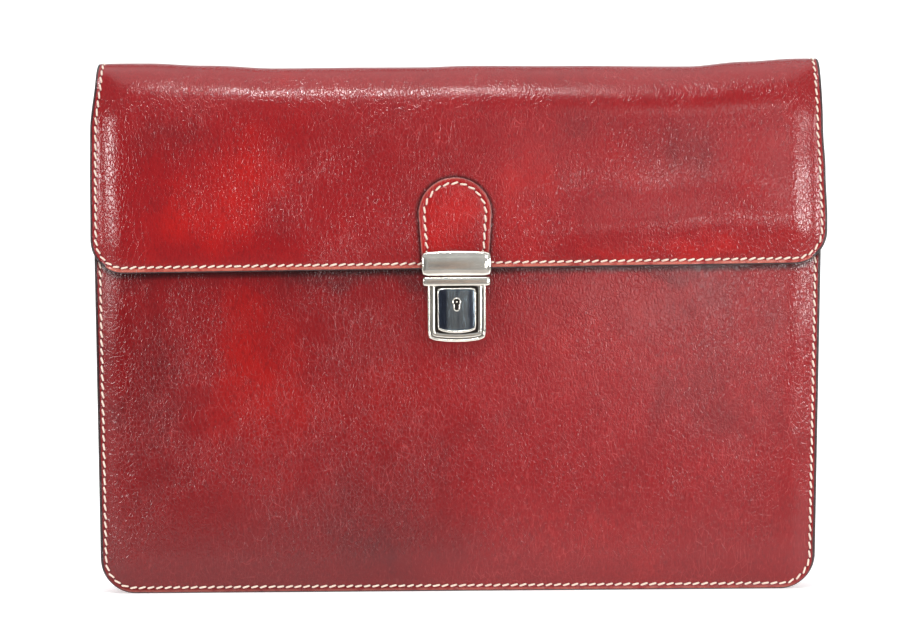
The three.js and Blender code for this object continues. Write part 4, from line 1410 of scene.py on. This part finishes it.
# %% Lock body
BAR_WIDTH = 34.8
BAR_HEIGHT = 4.8
BAR_TOP = CATCH_BOTTOM - 0.5
FRAME_TOP = BAR_TOP - BAR_HEIGHT
FRAME_WIDTH = 30
FRAME_HEIGHT = 28.8
FRAME_BOW = 1.6
FRAME_BOTTOM = FRAME_TOP - FRAME_HEIGHT + FRAME_BOW
BAR_FRONT = lock_low.y / MM - MIDDLE_Y
LAND_FRONT = BAR_FRONT + 1.9
land = LOCK_BACK - LAND_FRONT
bar_rise = LOCK_BACK - BAR_FRONT
BAR_PROFILE = [
    (0, bar_rise - 1.1, 1), (0.1, bar_rise - 0.65, 0.5), (0.3, bar_rise - 0.3), (0.6, bar_rise - 0.12),
    (1.0, bar_rise - 0.03), (1.7, bar_rise),
]
bar = raised_plate(
    "lock_bar", LOCK_ACROSS, FRAME_TOP, BAR_WIDTH, BAR_HEIGHT, BAR_PROFILE, LOCK_BACK, corner=2.2,
)
TRAY_PROFILE = [
    (0, land + 0.35, 0.5), (0.08, land + 0.75), (0.28, land + 1.03), (0.6, land + 1.18), (0.9, land + 1.18),
    (1.2, land + 1.0), (1.4, land + 0.7, 0.4), (1.5, land + 0.2, 1), (1.58, land - 0.35, 0.9),
    (1.8, land - 0.35, 0.5), (1.9, land - 0.02, 0.2), (2.1, land + 0.14), (2.6, land + 0.22),
    (3.3, land + 0.2), (3.8, land + 0.12), (4.0, land, 0.4), (4.1, land - 0.3, 1), (4.16, land - 1.4, 1),
]
tray = raised_plate(
    "lock_tray", LOCK_ACROSS, FRAME_BOTTOM, FRAME_WIDTH, FRAME_TOP - FRAME_BOTTOM + 3.9, TRAY_PROFILE,
    LOCK_BACK, corner=4.6, fullness=0.55, bow=FRAME_BOW,
)


def rivet(name, x, z, y):
    """A flat-domed rivet head on the inside of the front panel, facing into the pocket."""
    bpy.ops.object.select_all(action="DESELECT")
    bpy.ops.mesh.primitive_uv_sphere_add(segments=24, ring_count=12, radius=2.8 * MM)
    head = bpy.context.object
    for vertex in head.data.vertices:
        vertex.co = (vertex.co.x, vertex.co.y, max(vertex.co.z, 0) * 0.32)
    head.data.transform(Matrix.Rotation(math.radians(-90), 4, "X"))
    head.data.transform(Matrix.Translation((Vector((x, y, z)) + Vector(MIDDLE)) * MM))
    head.name = name
    head.data.materials.append(nickel)
    face_outwards(head, weld=True)
    shade(head, 40)
    return head


RIVET_DROP = 9
RIVET_ACROSS = 11
rivet_z = FRAME_TOP - RIVET_DROP
inner_face = float(front_face(np.array(LOCK_ACROSS), np.array(rivet_z))) + LEATHER
rivets = [
    rivet(f"rivet_{side}", LOCK_ACROSS + side * RIVET_ACROSS, rivet_z, inner_face) for side in (-1, 1)
]
lock_body = join_pieces("lock_body_metal", [bar, tray] + rivets)
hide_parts("lock_body")
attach(lock_body, "case")
print("land at", round(LAND_FRONT, 2), "bar front at", round(BAR_FRONT, 2))
print("lock body:", triangles(lock_body), "triangles")

# %% [markdown]
# ## The slider
# The plate that the thumb pushes down. Its rim is a round bead, wider at the foot than at the sides,
# around a sunk field that holds the dark face. A keyhole is cut through the face into the plate.

# %% Slider
SLIDER_WIDTH = 20
SLIDER_HEIGHT = 23.4
SLIDER_TOP = FRAME_TOP - 0.9
SLIDER_BOTTOM = SLIDER_TOP - SLIDER_HEIGHT + FRAME_BOW
SLIDER_BACK = LAND_FRONT - SEAT
FIELD_RISE = 1.12
SLIDER_PROFILE = [
    (0, 1.0, 1), (0.08, 1.4, 0.7), (0.22, 1.65, 0.1), (0.42, 1.78), (0.6, 1.76), (0.74, 1.6),
    (0.82, 1.35, 0.5), (0.86, FIELD_RISE, 1), (1.4, 1.1, 1),
]
slider = raised_plate(
    "slider_plate", LOCK_ACROSS, SLIDER_BOTTOM, SLIDER_WIDTH, SLIDER_TOP - SLIDER_BOTTOM, SLIDER_PROFILE,
    SLIDER_BACK, corner=3.2, fullness=0.5, bow=FRAME_BOW, foot_stretch=1.6,
)
FACE_INSET = 0.84
FACE_PROFILE = [(0, 0.14), (0.05, 0.19), (0.12, 0.21), (0.4, 0.22), (1.2, 0.23)]
face = raised_plate(
    "slider_face_metal", LOCK_ACROSS, SLIDER_BOTTOM + FACE_INSET * 1.6, SLIDER_WIDTH - 2 * FACE_INSET,
    SLIDER_TOP - SLIDER_BOTTOM - FACE_INSET * 2.6, FACE_PROFILE, SLIDER_BACK - FIELD_RISE, corner=2.4,
    fullness=0.5, bow=FRAME_BOW * 0.95, bulge=0.05, pitch=0.8, material=dark_face,
)

# %% [markdown]
# The keyhole is a round hole with a slot below it. Boolean cuts with round bars make it, one for the
# hole and others for the slot, and the walls inside are coloured near black as painted shade.

# %% Keyhole
KEYHOLE_HEIGHT = SLIDER_TOP - 7.2
KEYHOLE_RADIUS = 1.6
KEYHOLE_SLOT = 1.0
KEYHOLE_DROP = 3.2
KEYHOLE_CUTS = [
    (0, KEYHOLE_RADIUS), (1.6, KEYHOLE_SLOT), (2.4, KEYHOLE_SLOT), (KEYHOLE_DROP, KEYHOLE_SLOT),
]
keyhole_shade = hole_shade_material(
    "keyhole_painted_shade", 900, (0.010, 0.008, 0.007, 1), (0.035, 0.026, 0.02, 1), 0.6, 0.3,
)


def bar_along_y(x, z, radius, front, back, sides=24):
    """A round bar through the plate, used as a cutter."""
    bpy.ops.object.select_all(action="DESELECT")
    middle = (Vector((x, (front + back) / 2, z)) + Vector(MIDDLE)) * MM
    bpy.ops.mesh.primitive_cylinder_add(
        vertices=sides, radius=radius * MM, depth=abs(back - front) * MM, location=middle,
        rotation=(math.radians(90), 0, 0),
    )
    piece = bpy.context.object
    bpy.ops.object.transform_apply(location=True, rotation=True, scale=True)
    return piece


def cut_keyhole(piece, front, back):
    """Cut the hole and its slot through a piece, and paint shade on the walls inside."""
    for drop, radius in KEYHOLE_CUTS:
        cutter = bar_along_y(LOCK_ACROSS, KEYHOLE_HEIGHT - drop, radius, front, back)
        apply_modifier(piece, "BOOLEAN", object=cutter, operation="DIFFERENCE", solver="EXACT")
        bpy.data.objects.remove(cutter, do_unlink=True)
    piece.data.materials.append(keyhole_shade)
    for polygon in piece.data.polygons:
        centre = polygon.center
        dx = centre.x / MM - MIDDLE_X - LOCK_ACROSS
        dz = centre.z / MM - KEYHOLE_HEIGHT
        in_round = math.hypot(dx, dz) < KEYHOLE_RADIUS + 0.02
        in_slot = abs(dx) < KEYHOLE_SLOT + 0.02 and -4.25 < dz < 0
        in_front = centre.y / MM - MIDDLE_Y > front + 1.5
        if (in_round or in_slot) and in_front:
            polygon.material_index = len(piece.data.materials) - 1
    shade(piece, 42)


for piece in (slider, face):
    cut_keyhole(piece, SLIDER_BACK - 3, SLIDER_BACK - 0.3)


def key_pin():
    """The short post in the middle of the round hole that the key slides over."""
    pin = bar_along_y(LOCK_ACROSS, KEYHOLE_HEIGHT, 0.5, SLIDER_BACK - 1.25, SLIDER_BACK - 0.2, 16)
    round_limit = math.radians(40)
    apply_modifier(pin, "BEVEL", width=0.15 * MM, segments=3, limit_method="ANGLE", angle_limit=round_limit)
    pin.data.materials.append(nickel)
    shade(pin, 40)
    return pin


slider = join_pieces("lock_slider_metal", [slider, key_pin()])
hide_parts("lock_slider")
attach(slider, "slider")
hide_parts("slider_face")
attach(face, "slider")
print("slider:", triangles(slider), "triangles, face:", triangles(face), "triangles")

# %% [markdown]
# A bright ring is pressed around the keyhole. A torus has the right build for it: a closed loop of
# round sections. Its sections are moved onto the keyhole's outline, and each is turned to face outwards.

# %% Ring around the keyhole
RING_POINTS = 64
RING_SIDES = 10
RING_REACH = 0.36
RING_RISE = 0.34


def keyhole_outline(grow):
    """Points round the keyhole at a distance outside it, evenly spaced, with their outward directions."""
    radius = KEYHOLE_RADIUS + grow
    half = KEYHOLE_SLOT + grow
    turn = math.degrees(math.asin(half / radius))
    round_part = arc_points(0, 0, radius, -90 + turn, 270 - turn, 200)
    slot_part = arc_points(0, -KEYHOLE_DROP, half, 180, 360, 100)
    loop = np.concatenate([round_part, slot_part, round_part[:1]])
    way = np.concatenate([[0], np.cumsum(np.linalg.norm(np.diff(loop, axis=0), axis=1))])
    places = np.arange(RING_POINTS) * way[-1] / RING_POINTS
    outline = np.stack([np.interp(places, way, loop[:, k]) for k in range(2)], -1)
    forward = np.roll(outline, -1, axis=0) - np.roll(outline, 1, axis=0)
    outward = np.stack([forward[:, 1], -forward[:, 0]], -1)
    return outline, outward / np.linalg.norm(outward, axis=1)[:, None]


bpy.ops.object.select_all(action="DESELECT")
bpy.ops.mesh.primitive_torus_add(major_segments=RING_POINTS, minor_segments=RING_SIDES)
ring = bpy.context.object
ring.name = "keyhole_ring_metal"
ring.data.name = ring.name
outline, outward = keyhole_outline(RING_REACH)
angles = np.arange(RING_SIDES) * 2 * np.pi / RING_SIDES
reach = RING_REACH * np.cos(angles)
x = outline[:, 0:1] + outward[:, 0:1] * reach[None, :] + LOCK_ACROSS
z = outline[:, 1:2] + outward[:, 1:2] * reach[None, :] + KEYHOLE_HEIGHT
face_front = SLIDER_BACK - FIELD_RISE - 0.24 - 0.05
y = np.broadcast_to(face_front - RING_RISE * np.sin(angles)[None, :], x.shape)
write_points(ring, x, y, z)
face_outwards(ring)
ring.data.materials.append(nickel)
shade(ring)
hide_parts("keyhole_ring")
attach(ring, "slider")
print("keyhole ring:", triangles(ring), "triangles")

# %% [markdown]
# ## The set
# The case stands on a white sheet on a grey table. The sheet ends a little way in front of the case,
# so the lower part of the glossy front mirrors it and the upper part mirrors the dimmer room. The
# table's back is curved up into a wall, so that no horizon shows.

# %% Table
TABLE_FRONT = -0.92
TABLE_BACK = 3.0
TABLE_HALF = 2.5
TABLE_ROWS = 60
WALL_RUN = 3
QUARTER_TURN = 1.571


def table_material():
    material, tree, shader = new_material("pale_table")
    places = object_places(tree)
    mottle = noise_texture(tree, places, 3, detail=2)
    depth = add_node(tree, "ShaderNodeSeparateXYZ", {"Vector": places}).outputs["Y"]
    sheet = ramp(tree, depth, -0.38, -0.20)
    white = blend_colours(tree, mottle, (0.88, 0.88, 0.88, 1), (0.92, 0.92, 0.92, 1))
    fill(tree, shader, {
        "Base Color": blend_colours(tree, sheet, (0.34, 0.31, 0.29, 1), white),
        "Roughness": 0.6,
        "Emission Color": blend_colours(tree, sheet, (0.0, 0.0, 0.0, 1), (1, 1, 1, 1)),
        "Emission Strength": 0.38,
    })
    return material


table = add_grid("table_and_wall", 2, TABLE_ROWS)
run = np.linspace(TABLE_FRONT, TABLE_BACK + WALL_RUN, TABLE_ROWS)
from_bend = run - TABLE_BACK + 1
bend = np.clip(from_bend, 0, QUARTER_TURN)
y = np.minimum(run, TABLE_BACK - 1) + np.sin(bend)
z = 1 - np.cos(bend) + np.clip(from_bend - QUARTER_TURN, 0, None)
left, right = (np.stack([np.full(TABLE_ROWS, x), y, z], -1) for x in (-TABLE_HALF, TABLE_HALF))
table.data.vertices.foreach_set("co", np.stack([left, right], 1).ravel())
table.data.update()
table.data.materials.append(table_material())
shade(table)
print("table:", triangles(table), "triangles")

# %% [markdown]
# ## Lights
# One long soft light above the camera gives the highlight along the fold, and a small one doubles its
# middle. Two low lights at the sides draw the edges, with a weak fill on the left. Three more stand
# further off on the right, as windows do, and make the grain sparkle there. A wide light overhead and
# one on the wall fill the room.

# %% Lights
def soft_light(name, place, aim, size, power):
    """A rectangle of light at a place, turned towards what it aims at."""
    lamp = bpy.data.lights.new(name, "AREA")
    lamp.shape = "RECTANGLE"
    lamp.size, lamp.size_y = size
    lamp.energy = power
    holder = bpy.data.objects.new(name, lamp)
    holder.location = place
    holder.rotation_euler = (Vector(aim) - Vector(place)).to_track_quat("-Z", "Y").to_euler()
    bpy.context.collection.objects.link(holder)


soft_light("fold_light", (-0.06, -0.66, 1.02), (-0.05, 0, 0.25), (0.34, 0.10), 2.3)
soft_light("fold_light_middle", (-0.10, -0.65, 1.01), (-0.05, 0, 0.25), (0.10, 0.09), 2.1)
soft_light("left_light", (-0.85, -0.58, 0.29), (-0.1, 0, 0.2), (0.28, 0.14), 2.8)
soft_light("left_fill", (-0.95, -0.60, 0.08), (-0.1, 0, 0.1), (0.30, 0.30), 0.25)
soft_light("right_light", (0.85, -0.62, 0.23), (0.1, 0, 0.2), (0.50, 0.08), 4.4)
soft_light("right_glow", (0.56, -1.30, 0.24), (0.16, 0, 0.19), (0.16, 0.12), 0.65)
soft_light("window", (0.33, -1.60, 0.18), (0.07, 0, 0.15), (0.24, 0.12), 1.25)
soft_light("high_window", (0.50, -1.9, 0.74), (0.1, 0, 0.2), (0.45, 0.30), 2.0)
soft_light("overhead", (0, -0.1, 1.7), (0, 0, 0), (2.2, 1.6), 15)
soft_light("wall_light", (0, 1.2, 1.6), (0, 3.0, 0.6), (2.4, 0.8), 20)


# %% [markdown]
# Bright metal shows what stands in front of it. A narrow card, mottled from tan to nearly black, hangs
# just behind the camera, so that the lock has something dim and warm to mirror.

# %% Card behind the camera
def card_material():
    material, tree, shader = new_material("tan_card")
    places = object_places(tree)
    folds = noise_texture(tree, stretched(tree, places, (1, 1, 0.6)), 9, detail=3)
    shadow, tan = (0.05, 0.035, 0.04, 1), (0.42, 0.26, 0.17, 1)
    fill(tree, shader, {
        "Base Color": blend_colours(tree, ramp(tree, folds, 0.38, 0.6), shadow, tan),
        "Roughness": 0.9,
    })
    return material


card = add_grid("card_behind_camera", 2, 2)
corners = [(-0.075, -1.30, 0.04), (0.04, -1.30, 0.04), (-0.075, -1.30, 0.26), (0.04, -1.30, 0.26)]
card.data.vertices.foreach_set("co", np.array(corners).ravel())
card.data.update()
card.data.materials.append(card_material())

# %% [markdown]
# The world is white where the camera sees it and dim for every other ray, because a polished case in a
# white void would look chalky. It is brighter towards the ceiling, on the right by the windows, and
# straight behind the camera.

# %% World
world = bpy.data.worlds.new("studio")
bpy.context.scene.world = world
world.use_nodes = True
tree = world.node_tree
tree.nodes.clear()
seen = add_node(tree, "ShaderNodeBackground", {"Color": (1, 1, 1, 1), "Strength": 1.0})
heading = add_node(tree, "ShaderNodeTexCoord").outputs["Generated"]
heading = add_node(tree, "ShaderNodeSeparateXYZ", {"Vector": heading}).outputs
room = math_node(tree, "MULTIPLY_ADD", ramp(tree, heading["X"], -0.05, 0.30), 0.10, 0.07)
room = math_node(tree, "MULTIPLY_ADD", ramp(tree, heading["Z"], 0.06, 0.28), 0.32, room)
room = math_node(tree, "MULTIPLY_ADD", ramp(tree, heading["Y"], -0.94, -0.995), 0.20, room)
felt = add_node(tree, "ShaderNodeBackground", {"Color": (0.92, 0.96, 1, 1), "Strength": room})
camera_ray = add_node(tree, "ShaderNodeLightPath").outputs["Is Camera Ray"]
inputs = {0: camera_ray, 1: felt.outputs[0], 2: seen.outputs[0]}
choice = add_node(tree, "ShaderNodeMixShader", inputs)
add_node(tree, "ShaderNodeOutputWorld", {"Surface": choice.outputs[0]})
bpy.context.scene.view_settings.view_transform = "Standard"

# %% [markdown]
# ## Camera
# The camera looks level at the case from a little over a metre, slightly rolled. Its place follows from
# the scale of the photograph: at the flap one pixel is 0.515 mm, and the middle of the picture is about
# half way up the case.

# %% Camera
CAMERA_DISTANCE = 1100
CAMERA_ACROSS = -4.9
CAMERA_HEIGHT = 141.4
MM_PER_PIXEL = 0.515
IMAGE_WIDTH = 900
SENSOR = 36
ROLL = math.radians(0.44)

lens = bpy.data.cameras.new("camera")
lens.sensor_width = SENSOR
lens.lens = CAMERA_DISTANCE * SENSOR / (IMAGE_WIDTH * MM_PER_PIXEL)
lens.clip_start = 0.01
camera = bpy.data.objects.new("camera", lens)
flap_front = -(SEAM_DEPTH / 2 + ROLL_RISE + FLAP_LIE + LEATHER + FLAP_PUFF)
camera_place = Vector((CAMERA_ACROSS, flap_front - CAMERA_DISTANCE, CAMERA_HEIGHT))
camera.location = (camera_place + Vector(MIDDLE)) * MM
level = Matrix.Rotation(math.radians(90), 4, "X")
camera.rotation_euler = (Matrix.Rotation(ROLL, 4, "Y") @ level).to_euler()
bpy.context.collection.objects.link(camera)
bpy.context.scene.camera = camera
print("lens", round(lens.lens, 1), "mm")
